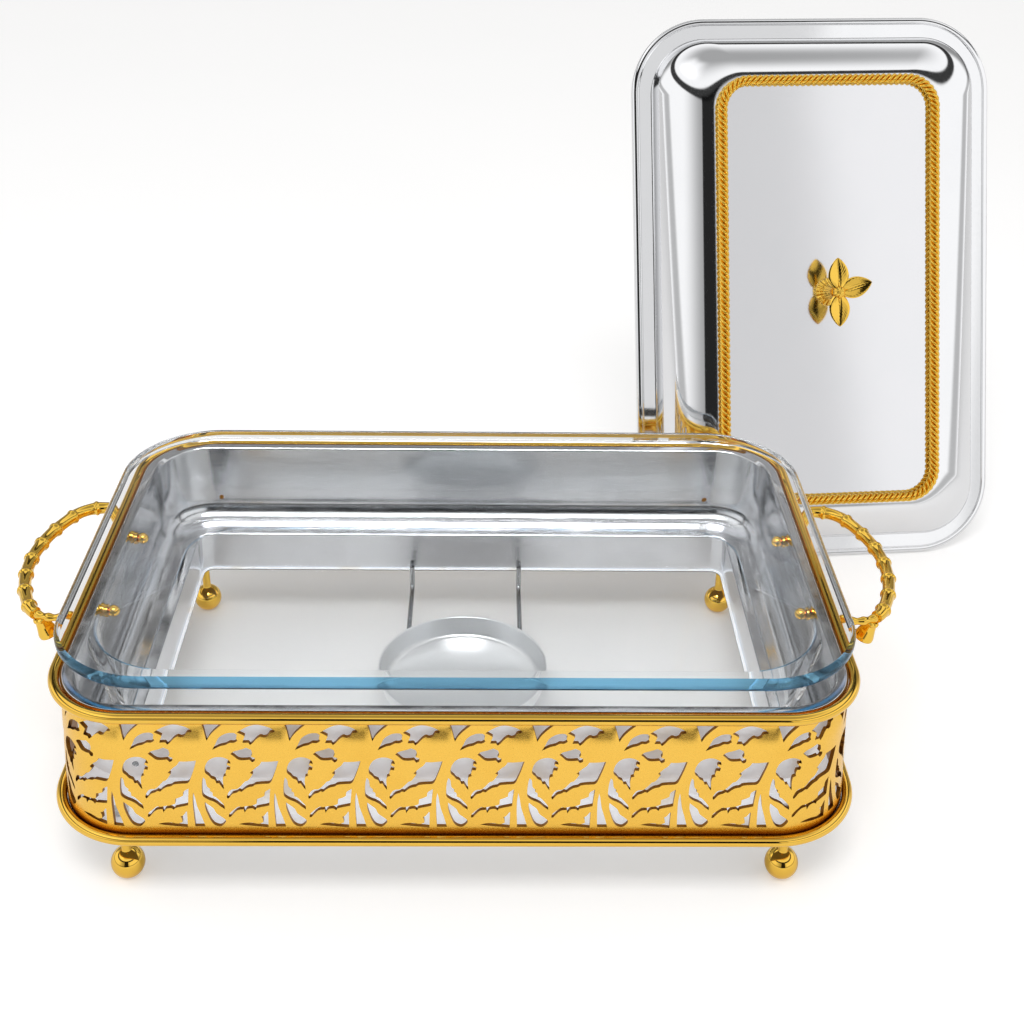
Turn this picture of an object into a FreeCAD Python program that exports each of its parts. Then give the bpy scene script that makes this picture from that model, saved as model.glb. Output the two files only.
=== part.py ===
# Glass food warmer: a clear oven dish in a gold stand, with its steel lid standing behind it.
#
# The stand is a pierced gold band between two round wire rings. A polished steel liner hangs in
# it and carries the dish on a shoulder. Under the dish, two wires carry a shallow burner pan over
# the liner's open bottom. Four balls are the feet, and a cast bamboo loop is on each end. The lid
# is a domed steel cover with a rope moulding and a flower knob. It isn't hinged.
#
# Frame: millimetres, origin on the table under the middle of the stand, +X to the right, -Y to
# the front and +Z up.
import FreeCAD, Part
import math
import os

import Sketcher
from FreeCAD import Vector

doc = FreeCAD.newDocument("GlassFoodWarmer")
sheet = doc.addObject("Spreadsheet::Sheet", "Sizes")

# Driving dimensions, in millimetres and degrees.
SIZES = {
    # stand
    "ring_length": 400.0,
    "ring_width": 276.0,
    "ring_corner": 42.0,
    "wire_dia": 5.5,
    "upper_wire_height": 114.4,
    "lower_wire_height": 43.0,
    "base_flare": 4.5,
    "band_thick": 0.8,
    "band_lap": 1.8,
    # pattern of the band
    "pierced_bottom": 48.5,
    "pierced_top": 109.0,
    # feet
    "ball_dia": 17.3,
    "ball_flat": 0.3,
    "foot_stem_dia": 6.0,
    "foot_stud_dia": 4.0,
    "foot_inset_end": 32.0,
    "foot_inset_side": 20.0,
    "foot_nut_flats": 7.0,
    "foot_nut_thick": 3.2,
    # base frame
    "frame_thick": 1.2,
    "frame_lip": 1.5,
    "hole_play": 0.1,
    # liner
    "liner_thick": 0.8,
    "liner_play": 0.3,
    "rim_width": 5.0,
    "rim_height": 116.0,
    "sheet_bend": 1.2,
    "ledge_height": 66.0,
    "ledge_width": 22.5,
    "shoulder_radius": 17.0,
    "vent_dia": 3.4,
    "vent_spacing": 310.0,
    "vent_height": 80.0,
    # dish
    "dish_length": 402.0,
    "dish_width": 252.0,
    "dish_corner": 52.0,
    "dish_height": 64.0,
    "flange_thick": 7.0,
    "flange_round": 2.8,
    "end_flange": 21.5,
    "side_flange": 8.5,
    "mouth_corner": 41.0,
    "glass_wall": 4.5,
    "glass_floor": 6.0,
    "dish_taper": 11.5,
    "dish_foot_round": 4.5,
    "dish_floor_round": 8.0,
    # handles
    "handle_hole_spacing": 72.0,
    "handle_height": 105.5,
    "handle_level": 114.5,
    "handle_reach": 42.0,
    "handle_span": 110.0,
    "handle_bow": 95.0,
    "handle_bend": 18.0,
    "rod_dia": 5.6,
    "knot_dia": 7.6,
    "knot_width": 1.8,
    "knot_spacing": 9.35,
    "stub_dia": 6.2,
    "stub_out": 3.4,
    "stub_root": 46.0,
    "leaf_length": 32.0,
    "leaf_bow": 26.0,
    "leaf_thick": 1.6,
    "leaf_shift": 7.0,
    "boss_dia": 8.0,
    "boss_length": 6.0,
    "screw_dia": 3.0,
    "spacer_dia": 6.0,
    "washer_dia": 7.0,
    "washer_thick": 0.8,
    "ball_nut_dia": 6.4,
    # burner
    "pan_dia": 96.0,
    "pan_depth": 13.0,
    "pan_thick": 0.7,
    "pan_taper": 2.0,
    "pan_round": 3.0,
    "pan_rest": 0.2,
    "burner_shift": 1.5,
    "burner_wire_dia": 3.0,
    "burner_wire_spacing": 68.0,
    "burner_wire_height": 28.5,
    "burner_hook_height": 44.0,
    "burner_wire_bend": 5.0,
    # lid
    "lid_length": 372.0,
    "lid_width": 250.0,
    "lid_corner": 50.0,
    "lid_rim": 14.0,
    "lid_rim_height": 5.0,
    "lid_height": 38.0,
    "lid_thick": 0.9,
    "panel_length": 287.0,
    "panel_width": 151.0,
    "panel_corner": 22.0,
    "rope_dia": 7.0,
    "knob_height": 20.0,
    "knob_base_dia": 19.0,
    "knob_neck_dia": 7.0,
    "knob_edge": 1.5,
    "knob_flare": 22.0,
    "petal_length": 22.0,
    "petal_bow": 15.0,
    "petal_thick": 3.2,
    "knob_screw_dia": 4.0,
    "knob_screw_head": 2.4,
    "knob_screw_reach": 12.0,
    "knob_washer_dia": 12.0,
    # where the lid stands
    "lid_lean": 22.0,
    "lid_turn": 5.0,
    "lid_place_right": 246.0,
    "lid_place_back": 186.0,
}


class Size:
    """A number with the spreadsheet expression that it comes from."""

    def __init__(self, value, text):
        self.value = value
        self.text = text

    def joined(self, other, sign, value):
        return Size(value, "(%s %s %s)" % (self.text, sign, other.text))

    def __add__(self, other):
        other = as_size(other)
        return self.joined(other, "+", self.value + other.value)

    def __sub__(self, other):
        other = as_size(other)
        return self.joined(other, "-", self.value - other.value)

    def __mul__(self, other):
        other = as_size(other)
        return self.joined(other, "*", self.value * other.value)

    def __truediv__(self, other):
        other = as_size(other)
        return self.joined(other, "/", self.value / other.value)

    def __neg__(self):
        return Size(-self.value, "(-1 * %s)" % self.text)


def as_size(number):
    """A plain number as a Size."""
    return number if isinstance(number, Size) else Size(float(number), repr(float(number)))


for row, (alias, value) in enumerate(SIZES.items(), start=1):
    sheet.set("A%d" % row, alias)
    sheet.set("B%d" % row, repr(value))
    sheet.setAlias("B%d" % row, alias)
doc.recompute()


def size(alias):
    """The named driving dimension."""
    return Size(float(sheet.get(alias)), "Sizes.%s" % alias)


def bind(item, prop, amount):
    """Ties a property of an object to the sheet."""
    item.setExpression(prop, as_size(amount).text)


def place(item, x=0.0, y=0.0, z=0.0):
    """Ties an object's position to the sheet."""
    for axis, amount in zip("xyz", (x, y, z)):
        bind(item, "Placement.Base.%s" % axis, amount)


def new_body(label):
    """A PartDesign body for one sub-part."""
    body = doc.addObject("PartDesign::Body", "Body_" + label)
    body.Label = label
    return body


def plane_of(body, role):
    """One of the body's own origin planes."""
    return next(f for f in body.Origin.OriginFeatures if f.Role == role)


def new_sketch(body, name, role="XY_Plane", offset=0.0):
    """A sketch on an origin plane of the body, moved along the plane's normal."""
    sketch = body.newObject("Sketcher::SketchObject", name)
    sketch.AttachmentSupport = (plane_of(body, role), "")
    sketch.MapMode = "FlatFace"
    bind(sketch, "AttachmentOffset.Base.z", offset)
    return sketch


def hold(sketch, kind, item, amount, point=None):
    """Adds a dimension that follows the sheet."""
    amount = as_size(amount)
    where = (item,) if point is None else (item, point)
    index = sketch.addConstraint(Sketcher.Constraint(kind, *where, amount.value))
    name = "d%d" % index
    sketch.renameConstraint(index, name)
    sketch.setExpression("Constraints.%s" % name, amount.text)


def rounded_rectangle(sketch, half_x, half_y, radius):
    """Draws a centred rectangle with round corners, which starts at the middle of its front side."""
    half_x, half_y, radius = as_size(half_x), as_size(half_y), as_size(radius)
    hx, hy, r = half_x.value, half_y.value, radius.value
    up = Vector(0, 0, 1)
    first = sketch.GeometryCount
    corners = ((hx - r, -hy + r), (hx - r, hy - r), (-hx + r, hy - r), (-hx + r, -hy + r))
    sides = (
        ((0, -hy), (hx - r, -hy)),
        ((hx, -hy + r), (hx, hy - r)),
        ((hx - r, hy), (-hx + r, hy)),
        ((-hx, hy - r), (-hx, -hy + r)),
    )
    for turn, (side, corner) in enumerate(zip(sides, corners)):
        sketch.addGeometry(Part.LineSegment(Vector(*side[0], 0), Vector(*side[1], 0)))
        start = math.radians(90 * turn - 90)
        arc = Part.ArcOfCircle(Part.Circle(Vector(*corner, 0), up, r), start, start + math.pi / 2)
        sketch.addGeometry(arc)
    sketch.addGeometry(Part.LineSegment(Vector(-hx + r, -hy, 0), Vector(0, -hy, 0)))
    for step in range(8):
        sketch.addConstraint(Sketcher.Constraint("Tangent", first + step, 2, first + step + 1, 1))
    sketch.addConstraint(Sketcher.Constraint("Coincident", first + 8, 2, first, 1))
    sketch.addConstraint(Sketcher.Constraint("Horizontal", first))
    sketch.addConstraint(Sketcher.Constraint("PointOnObject", first, 1, -2))
    for step in (3, 5, 7):
        sketch.addConstraint(Sketcher.Constraint("Equal", first + 1, first + step))
    sketch.addConstraint(Sketcher.Constraint("Vertical", first + 2))
    sketch.addConstraint(Sketcher.Constraint("Horizontal", first + 4))
    sketch.addConstraint(Sketcher.Constraint("Vertical", first + 6))
    hold(sketch, "Radius", first + 1, radius)
    hold(sketch, "DistanceY", first, -half_y, 1)
    hold(sketch, "DistanceX", first + 2, half_x, 1)
    hold(sketch, "DistanceY", first + 4, half_y, 1)
    hold(sketch, "DistanceX", first + 6, -half_x, 1)


def end_at(sketch, item, spot):
    """Which end of a line or arc lies at a place: 1 or 2."""
    gaps = [(sketch.getPoint(item, end) - spot).Length for end in (1, 2)]
    return 1 if gaps[0] < gaps[1] else 2


def circle(sketch, x, y, radius):
    """Draws a circle."""
    x, y, radius = as_size(x), as_size(y), as_size(radius)
    middle = Vector(x.value, y.value, 0)
    item = sketch.addGeometry(Part.Circle(middle, Vector(0, 0, 1), radius.value))
    hold(sketch, "Radius", item, radius)
    hold(sketch, "DistanceX", item, x, 3)
    hold(sketch, "DistanceY", item, y, 3)


def outline(sketch, points, closed=True):
    """Draws an outline. A point is (x, y), or (x, y, radius) where an arc leads on from it.

    A positive radius bulges to the right of the way round, a negative one to the left."""
    first = sketch.GeometryCount
    spots = [Vector(as_size(p[0]).value, as_size(p[1]).value, 0) for p in points]
    steps = points if closed else points[:-1]
    for index, point in enumerate(steps):
        here, there = spots[index], spots[(index + 1) % len(points)]
        if len(point) == 2:
            sketch.addGeometry(Part.LineSegment(here, there))
            continue
        radius = as_size(point[2]).value
        chord = there.sub(here)
        sag = abs(radius) - math.sqrt(max(radius**2 - chord.Length**2 / 4, 0.0))
        right = Vector(chord.y, -chord.x, 0).normalize()
        middle = here.add(there).multiply(0.5).add(right.multiply(math.copysign(sag, radius)))
        sketch.addGeometry(Part.Arc(here, middle, there))
    for index, point in enumerate(steps):
        item, following = first + index, first + (index + 1) % len(points)
        # A circular arc always runs counter-clockwise in a sketch, so its ends are looked up.
        head = end_at(sketch, item, spots[index])
        if closed or index < len(steps) - 1:
            tail = end_at(sketch, following, spots[(index + 1) % len(points)])
            sketch.addConstraint(Sketcher.Constraint("Coincident", item, 3 - head, following, tail))
        else:
            hold(sketch, "DistanceX", item, points[-1][0], 3 - head)
            hold(sketch, "DistanceY", item, points[-1][1], 3 - head)
        hold(sketch, "DistanceX", item, point[0], head)
        hold(sketch, "DistanceY", item, point[1], head)
        if len(point) == 3:
            radius = as_size(point[2])
            hold(sketch, "Radius", item, radius if radius.value > 0 else -radius)


def pipe_along(body, name, profile, path):
    """Sweeps a profile along all the edges of a path."""
    pipe = body.newObject("PartDesign::AdditivePipe", name)
    pipe.Profile = profile
    pipe.Spine = (path, ["Edge%d" % (edge + 1) for edge in range(path.GeometryCount)])
    pipe.Transition = "Transformed"
    body.Tip = pipe
    return pipe


def pad_up(body, name, sketch, amount):
    """Pads a sketch along its normal."""
    pad = body.newObject("PartDesign::Pad", name)
    pad.Profile = sketch
    bind(pad, "Length", amount)
    body.Tip = pad
    return pad


def turn_profile(body, name, points):
    """Turns an outline in the XZ plane round the Z axis."""
    sketch = new_sketch(body, name + "_outline", "XZ_Plane")
    outline(sketch, points)
    turned = body.newObject("PartDesign::Revolution", name)
    turned.Profile = sketch
    turned.ReferenceAxis = (sketch, ["V_Axis"])
    turned.Angle = 360.0
    body.Tip = turned
    return turned


def loft_through(body, name, sketches, cut=False, ruled=True):
    """A loft, or a lofted cut, through sketches."""
    kind = "PartDesign::SubtractiveLoft" if cut else "PartDesign::AdditiveLoft"
    loft = body.newObject(kind, name)
    loft.Profile = sketches[0]
    loft.Sections = sketches[1:]
    loft.Ruled = ruled
    body.Tip = loft
    return loft


def pocket(body, name, sketch, length, through=False):
    """Cuts a sketch into the solid, both ways from its plane where it goes through."""
    hole = body.newObject("PartDesign::Pocket", name)
    hole.Profile = sketch
    if through:
        hole.SideType = "Symmetric"
    bind(hole, "Length", length)
    body.Tip = hole
    return hole


def edges_at(feature, test):
    """The names of the edges of a feature whose middle passes a test."""
    doc.recompute()
    names = []
    for number, edge in enumerate(feature.Shape.Edges, start=1):
        first, last = edge.ParameterRange
        if test(edge.valueAt((first + last) / 2)):
            names.append("Edge%d" % number)
    return names


def round_off(body, name, feature, test, radius):
    """Rounds the edges of a feature whose middle passes a test."""
    fillet = body.newObject("PartDesign::Fillet", name)
    fillet.Base = (feature, edges_at(feature, test))
    bind(fillet, "Radius", radius)
    body.Tip = fillet
    return fillet


def cylinder(name, radius, height):
    """A plain cylinder that stands on its origin."""
    item = doc.addObject("Part::Cylinder", name)
    bind(item, "Radius", radius)
    bind(item, "Height", height)
    return item


def set_place(item, spot, turn=(0.0, 0.0, 0.0)):
    """Ties a whole placement to the sheet: a spot, and the yaw, pitch and roll in degrees."""
    spot = "; ".join(as_size(amount).text for amount in spot)
    turn = "; ".join(as_size(amount).text for amount in turn)
    item.setExpression("Placement", "placement(vector(%s); rotation(%s))" % (spot, turn))


def cut_away(label, base, tools):
    """Cuts tools out of a solid."""
    for number, tool in enumerate(tools, start=1):
        cut = doc.addObject("Part::Cut", "Cut%d_%s" % (number, label))
        cut.Base = base
        cut.Tool = tool
        base = cut
    base.Label = label
    return base


def fused(label, items):
    """Joins solids into one."""
    whole = doc.addObject("Part::MultiFuse", "Whole_" + label)
    whole.Label = label
    whole.Shapes = items
    return whole


def group_of(label, items):
    """Several identical solids under one label."""
    group = doc.addObject("Part::Compound", "Group_" + label)
    group.Label = label
    group.Links = items
    return group


def sine(angle):
    """The sine of an angle in degrees."""
    angle = as_size(angle)
    return Size(math.sin(math.radians(angle.value)), "sin(%s)" % angle.text)


def cosine(angle):
    """The cosine of an angle in degrees."""
    angle = as_size(angle)
    return Size(math.cos(math.radians(angle.value)), "cos(%s)" % angle.text)


def root_of(amount):
    """A square root."""
    return Size(math.sqrt(amount.value), "sqrt(%s)" % amount.text)


def angle_of(rise, run):
    """The angle in degrees whose tangent is rise over run."""
    ratio = as_size(rise) / as_size(run)
    return Size(math.degrees(math.atan(ratio.value)), "(atan(%s) / (1 deg))" % ratio.text)


PARTS = []


def keep(item):
    """Lists a finished sub-part."""
    PARTS.append(item)
    return item


# The two wire rings. The outer side of the lower one flares out past the upper one.
wire = size("wire_dia") / 2
half_x = size("ring_length") / 2
half_y = size("ring_width") / 2
flare = size("base_flare")
upper_z = size("upper_wire_height")
lower_z = size("lower_wire_height")


def wire_ring(label, height, spread):
    """A round wire bent to a rounded rectangle, its outer side spread past the upper ring's."""
    body = new_body(label)
    path = new_sketch(body, label + "_path", offset=height)
    rounded_rectangle(
        path, half_x + spread - wire, half_y + spread - wire, size("ring_corner") + spread - wire
    )
    section = new_sketch(body, label + "_section", "YZ_Plane")
    circle(section, -(half_y + spread - wire), height, wire)
    pipe_along(body, label + "_wire", section, path)
    return keep(body)


wire_ring("upper_wire_ring", upper_z, as_size(0.0))
wire_ring("lower_wire_ring", lower_z, flare)

# The band stands inside the two wires and touches both. It leans out towards its foot.
play = size("hole_play")
lap = size("band_lap")
sheet_t = size("band_thick")
band_top = upper_z + lap
band_foot = lower_z - lap
lean = flare / (upper_z - lower_z)
inset = size("wire_dia") + play


def band_spread(height):
    """How far the band's outer face stands out at a height, past its place at the upper wire."""
    return (upper_z - height) * lean


def band_outline(sketch, height, depth=0.0):
    """The band's outline at a height, at a depth behind its outer face."""
    out = band_spread(height) - inset - depth
    rounded_rectangle(sketch, half_x + out, half_y + out, size("ring_corner") + out)


band_shell = new_body("band_shell")
sections = []
for name, height, depth in (
    ("outer_foot", band_foot, 0.0),
    ("outer_top", band_top, 0.0),
    ("inner_foot", band_foot, sheet_t),
    ("inner_top", band_top, sheet_t),
):
    sections.append(new_sketch(band_shell, "band_" + name, offset=height))
    band_outline(sections[-1], height, depth)
loft_through(band_shell, "band_outside", sections[:2])
loft_through(band_shell, "band_inside", sections[2:], cut=True)

# One cell of the pattern: an arch on a forked trunk, with a leaf sprig left standing in it.
# Each hole's corners are shares of the cell's pitch along the band and of the pierced height.
CELL_HOLES = (
    ((-0.09, 1.0), (0.19, 1.0), (0.02, 0.84)),
    ((0.06, 0.75), (0.12, 0.84), (0.25, 0.91), (0.36, 0.9), (0.37, 0.84), (0.25, 0.78)),
    ((0.38, 0.92), (0.49, 0.96), (0.67, 0.97), (0.82, 0.9), (0.65, 0.86), (0.52, 0.8)),
    ((-0.05, 0.54), (0.02, 0.64), (0.13, 0.68), (0.25, 0.64), (0.16, 0.4), (0.06, 0.46)),
    ((0.22, 0.29), (0.43, 0.44), (0.65, 0.62), (0.85, 0.64), (0.76, 0.43), (0.43, 0.37)),
    ((0.21, 0.1), (0.29, 0.2), (0.49, 0.22), (0.72, 0.37), (0.71, 0.24), (0.4, 0.14)),
    ((-0.1, 0.42), (0.0, 0.33), (0.16, 0.19), (-0.01, 0.24), (-0.1, 0.3)),
    ((-0.1, 0.27), (0.02, 0.17), (0.16, 0.07), (0.12, 0.01), (0.01, 0.01), (-0.06, 0.12)),
    ((0.3, 0.03), (0.43, 0.07), (0.59, 0.07), (0.68, 0.15), (0.69, 0.01)),
    ((0.79, 0.31), (0.77, 0.01), (0.87, 0.01), (0.82, 0.17)),
)
CELLS_ROUND = 32
pattern_foot = size("pierced_bottom").value
pattern_rise = size("pierced_top").value - pattern_foot
pattern_middle = pattern_foot + pattern_rise / 2
cutter_reach = 6.0
hole_margin = 7.0


def band_path(height):
    """The band's outer outline at a height, as one wire that starts at the middle of the front."""
    out = band_spread(as_size(height)).value - inset.value
    reach_x, reach_y = half_x.value + out, half_y.value + out
    radius = size("ring_corner").value + out
    near = Vector(0, -reach_y, height)
    side = Vector(reach_x, 0, height)
    straight = Vector(reach_x - radius, -reach_y, height)
    corner = Vector(reach_x - radius, -reach_y + radius, height)
    bulge = corner + Vector(math.sqrt(0.5), -math.sqrt(0.5), 0) * radius
    turned = Vector(reach_x, -reach_y + radius, height)
    quarter = [Part.makeLine(near, straight), Part.Arc(straight, bulge, turned).toShape()]
    quarter.append(Part.makeLine(turned, side))
    far = [edge.mirror(Vector(0, 0, 0), Vector(0, 1, 0)) for edge in reversed(quarter)]
    back = [edge.mirror(Vector(0, 0, 0), Vector(1, 0, 0)) for edge in reversed(quarter + far)]
    return [(edge, edge.Length) for edge in quarter + far + back]


def along(path, distance):
    """A point on the outline and the way on from it, counter-clockwise seen from above."""
    distance = distance % sum(length for _, length in path)
    for edge, length in path:
        if distance <= length:
            break
        distance -= length
    point = edge.valueAt(edge.getParameterByLength(distance))
    way = edge.tangentAt(edge.getParameterByLength(distance))
    if way.dot(Vector(-point.y, point.x, 0)) < 0:
        point = edge.valueAt(edge.getParameterByLength(length - distance))
        way = edge.tangentAt(edge.getParameterByLength(length - distance)) * -1
    return point, way


def pattern_cutters():
    """The prisms that pierce the band, one for each hole of each cell."""
    path = band_path(pattern_middle)
    pitch = sum(length for _, length in path) / CELLS_ROUND
    screw_y = size("handle_hole_spacing").value / 2
    screw_z = size("handle_height").value
    prisms = []
    for cell in range(CELLS_ROUND):
        for corners in CELL_HOLES:
            middle = sum(share for share, _ in corners) / len(corners)
            point, way = along(path, (cell + middle) * pitch)
            rise = sum(share for _, share in corners) / len(corners) * pattern_rise + pattern_foot
            if abs(point.x) > half_x.value / 2:
                if math.hypot(abs(point.y) - screw_y, rise - screw_z) < 2 * hole_margin:
                    continue
            inward = Vector(-way.y, way.x, 0)
            start = point + inward * cutter_reach
            ring = []
            for share, level in corners:
                spot = start + way * ((share - middle) * pitch)
                spot.z = pattern_foot + level * pattern_rise
                ring.append(spot)
            face = Part.Face(Part.makePolygon(ring + ring[:1]))
            prisms.append(face.extrude(inward * -2 * cutter_reach))
    return Part.makeCompound(prisms)


band_holes = doc.addObject("Part::Feature", "band_holes")
band_holes.Shape = pattern_cutters()

# Screws go through the band, the spacers and the liner's end walls into the handles.
screw_r = size("screw_dia") / 2
screw_y = size("handle_hole_spacing") / 2
screw_z = size("handle_height")


def cross_bore(name, radius, y):
    """A bore through both ends of the stand."""
    bore = cylinder(name, radius, size("ring_length") * 2)
    set_place(bore, (-size("ring_length"), y, screw_z), (0.0, 90.0, 0.0))
    return bore


bores = group_of(
    "screw_bores",
    [cross_bore("rear_bore", screw_r + play, screw_y), cross_bore("front_bore", screw_r + play, -screw_y)],
)
keep(cut_away("pierced_band", band_shell, [band_holes, bores]))

# The base frame is a flat sheet inside the foot of the band, with the liner's mouth over its window.
frame_t = size("frame_thick")
frame_top = band_foot
wall_x = half_x - inset - sheet_t - size("liner_play") - size("rim_width")
wall_y = half_y - inset - sheet_t - size("liner_play") - size("rim_width")
wall_corner = size("ring_corner") - inset - sheet_t - size("liner_play") - size("rim_width")
ledge = size("ledge_width")
lower_x, lower_y, lower_corner = wall_x - ledge, wall_y - ledge, wall_corner - ledge
lip = size("frame_lip")
foot_x = half_x - size("foot_inset_end")
foot_y = half_y - size("foot_inset_side")
stud = size("foot_stud_dia") / 2

base_frame = new_body("base_frame")
plate = new_sketch(base_frame, "frame_outline", offset=frame_top - frame_t)
band_outline(plate, band_foot)
rounded_rectangle(plate, lower_x - lip, lower_y - lip, lower_corner - lip)
for side_x in (-1, 1):
    for side_y in (-1, 1):
        circle(plate, foot_x * side_x, foot_y * side_y, stud + play)
pad_up(base_frame, "frame_sheet", plate, frame_t)
keep(base_frame)

# The liner is one pressed sheet: rim, wall, shoulder, ledge and lower wall, swept round the stand.
t = size("liner_thick")
rim_z = size("rim_height")
ledge_z = size("ledge_height")
shoulder = size("shoulder_radius")
bend = size("sheet_bend")

liner_body = new_body("liner_sheet")
liner_path = new_sketch(liner_body, "liner_path", offset=rim_z)
rounded_rectangle(liner_path, wall_x, wall_y, wall_corner)
liner_section = new_sketch(liner_body, "liner_section", "YZ_Plane")
outline(
    liner_section,
    (
        (-wall_y - size("rim_width"), rim_z - t),
        (-wall_y - t - bend, rim_z - t, -bend),
        (-wall_y - t, rim_z - t - bend),
        (-wall_y - t, ledge_z + shoulder, shoulder + t),
        (-wall_y + shoulder, ledge_z - t),
        (-lower_y - t - bend, ledge_z - t, -bend),
        (-lower_y - t, ledge_z - t - bend),
        (-lower_y - t, frame_top),
        (-lower_y, frame_top),
        (-lower_y, ledge_z - t - bend, bend + t),
        (-lower_y - t - bend, ledge_z),
        (-wall_y + shoulder, ledge_z, -shoulder),
        (-wall_y, ledge_z + shoulder),
        (-wall_y, rim_z - t - bend, bend + t),
        (-wall_y - t - bend, rim_z),
        (-wall_y - size("rim_width"), rim_z),
    ),
)
pipe_along(liner_body, "liner_pressing", liner_section, liner_path)
vents = new_sketch(liner_body, "vent_holes", "XZ_Plane")
for side in (-1, 1):
    circle(vents, size("vent_spacing") / 2 * side, size("vent_height"), size("vent_dia") / 2)
pocket(liner_body, "vents", vents, size("ring_width") * 2, through=True)
keep(cut_away("steel_liner", liner_body, [bores]))

# Each foot is a turned ball with a stem, and its stud goes up through the base frame.
ball = size("ball_dia") / 2
ball_flat = size("ball_flat")
stem = size("foot_stem_dia") / 2
nut_t = size("foot_nut_thick")
ball_z = ball - ball_flat
flat_r = root_of(ball * ball - ball_z * ball_z)
stem_foot = ball_z + root_of(ball * ball - stem * stem)
stud_top = frame_top + nut_t + stud


def ball_foot(label, side_x, side_y):
    """One turned foot."""
    body = new_body(label)
    turn_profile(
        body,
        label + "_turned",
        (
            (0.0, 0.0),
            (flat_r, 0.0, ball),
            (stem, stem_foot),
            (stem, frame_top - frame_t),
            (stud, frame_top - frame_t),
            (stud, stud_top),
            (0.0, stud_top),
        ),
    )
    place(body, foot_x * side_x, foot_y * side_y)
    return keep(body)


ball_foot("ball_foot_front_left", -1, -1)
ball_foot("ball_foot_front_right", 1, -1)
ball_foot("ball_foot_rear_left", -1, 1)
ball_foot("ball_foot_rear_right", 1, 1)


def foot_nut(number, side_x, side_y):
    """A hexagon nut on the base frame."""
    nut = doc.addObject("Part::Prism", "nut_blank_%d" % number)
    nut.Polygon = 6
    bind(nut, "Circumradius", size("foot_nut_flats") / 2 / cosine(30.0))
    bind(nut, "Height", nut_t)
    bore = cylinder("nut_bore_%d" % number, stud + play, nut_t)
    for item in (nut, bore):
        set_place(item, (foot_x * side_x, foot_y * side_y, frame_top))
    return cut_away("foot_nut_%d" % number, nut, [bore])


corners = ((-1, -1), (1, -1), (-1, 1), (1, 1))
keep(group_of("foot_nuts", [foot_nut(n, *corner) for n, corner in enumerate(corners, start=1)]))

# A cast bamboo loop on each end. Its bar bows out, turns in at both ends and drops on two stubs to
# leaf plates, which lie against the band behind the screws. The loop is drawn on its own level.
rod = size("rod_dia") / 2
level = size("handle_level")
bow = size("handle_bow")
turn_in = size("handle_bend")
bow_x = size("handle_reach") - bow
bend_y = size("handle_span") / 2 - turn_in
bend_x = bow_x + root_of((bow - turn_in) * (bow - turn_in) - bend_y * bend_y)
swing = angle_of(bend_y, bend_x - bow_x)
root_swing = as_size(100.0)
band_at_screws = half_x + band_spread(screw_z) - size("wire_dia")
band_tilt = angle_of(flare, upper_z - lower_z)
stub = size("stub_dia") / 2


def on_bend(angle, reach):
    """A point of the loop's end bend, seen from above."""
    return bend_x + reach * cosine(angle), bend_y + reach * sine(angle)


def loop_bar(label):
    """The rod of a loop, from stub to stub."""
    body = new_body(label + "_bar")
    path = new_sketch(body, label + "_path", offset=level)
    tip_x, tip_y = on_bend(root_swing, turn_in)
    out_x, out_y = on_bend(swing, turn_in)
    outline(
        path,
        ((tip_x, -tip_y, turn_in), (out_x, -out_y, bow), (out_x, out_y, turn_in), (tip_x, tip_y)),
        closed=False,
    )
    section = body.newObject("Sketcher::SketchObject", label + "_section")
    section.AttachmentSupport = (path, "Edge1")
    section.MapMode = "NormalToEdge"
    circle(section, 0.0, 0.0, rod)
    pipe_along(body, label + "_rod", section, path)
    return body


def stub_and_leaf(label, side):
    """The stub, boss and leaf plate at one end of a loop."""
    tip_x, tip_y = on_bend(root_swing, turn_in)
    root_x = size("stub_out")
    root_y = size("stub_root")
    rise = level - screw_z
    run_x = tip_x - root_x
    run = root_of(run_x * run_x + (tip_y - root_y) * (tip_y - root_y))
    length = root_of(run * run + rise * rise)
    post = doc.addObject("Part::Cone", label + "_stub")
    bind(post, "Radius1", stub)
    bind(post, "Radius2", rod)
    bind(post, "Height", length)
    yaw = angle_of(tip_y - root_y, run_x) * side
    set_place(post, (root_x, root_y * side, screw_z), (yaw, angle_of(run, rise), 0.0))
    knuckle = doc.addObject("Part::Sphere", label + "_knuckle")
    bind(knuckle, "Radius", rod + play)
    set_place(knuckle, (tip_x, tip_y * side, level))
    boss = cylinder(label + "_boss", size("boss_dia") / 2, size("boss_length"))
    set_place(boss, (size("leaf_thick") / 2, screw_y * side, screw_z), (0.0, 90.0, 0.0))
    leaf = new_body(label + "_leaf")
    shape = new_sketch(leaf, label + "_leaf_outline")
    half = size("leaf_length") / 2
    outline(shape, ((0.0, -half, size("leaf_bow")), (0.0, half, size("leaf_bow"))))
    pad_up(leaf, label + "_leaf_plate", shape, size("leaf_thick"))
    leaf_y = (screw_y + size("leaf_shift")) * side
    set_place(leaf, (play, leaf_y, screw_z), (0.0, as_size(90.0) - band_tilt, 0.0))
    return [post, knuckle, boss, leaf]


def loop_knots(label):
    """The bamboo's knots, evenly spaced along the bar."""
    knots = []
    step = size("knot_spacing")
    last = swing + (step * 4 - swing) * bow / turn_in
    spots = []
    for turn in range(-3, 4):
        angle = step * turn
        spots.append((angle, (bow_x + bow * cosine(angle), bow * sine(angle))))
    bend = on_bend(last, turn_in)
    spots += [(last, bend), (-last, (bend[0], -bend[1]))]
    for number, (angle, (x, y)) in enumerate(spots, start=1):
        knot = cylinder("%s_knot_%d" % (label, number), size("knot_dia") / 2, size("knot_width"))
        back = size("knot_width") / 2
        spot = (x + back * sine(angle), y - back * cosine(angle), level)
        set_place(knot, spot, (angle, 0.0, -90.0))
        knots.append(knot)
    return knots


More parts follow.
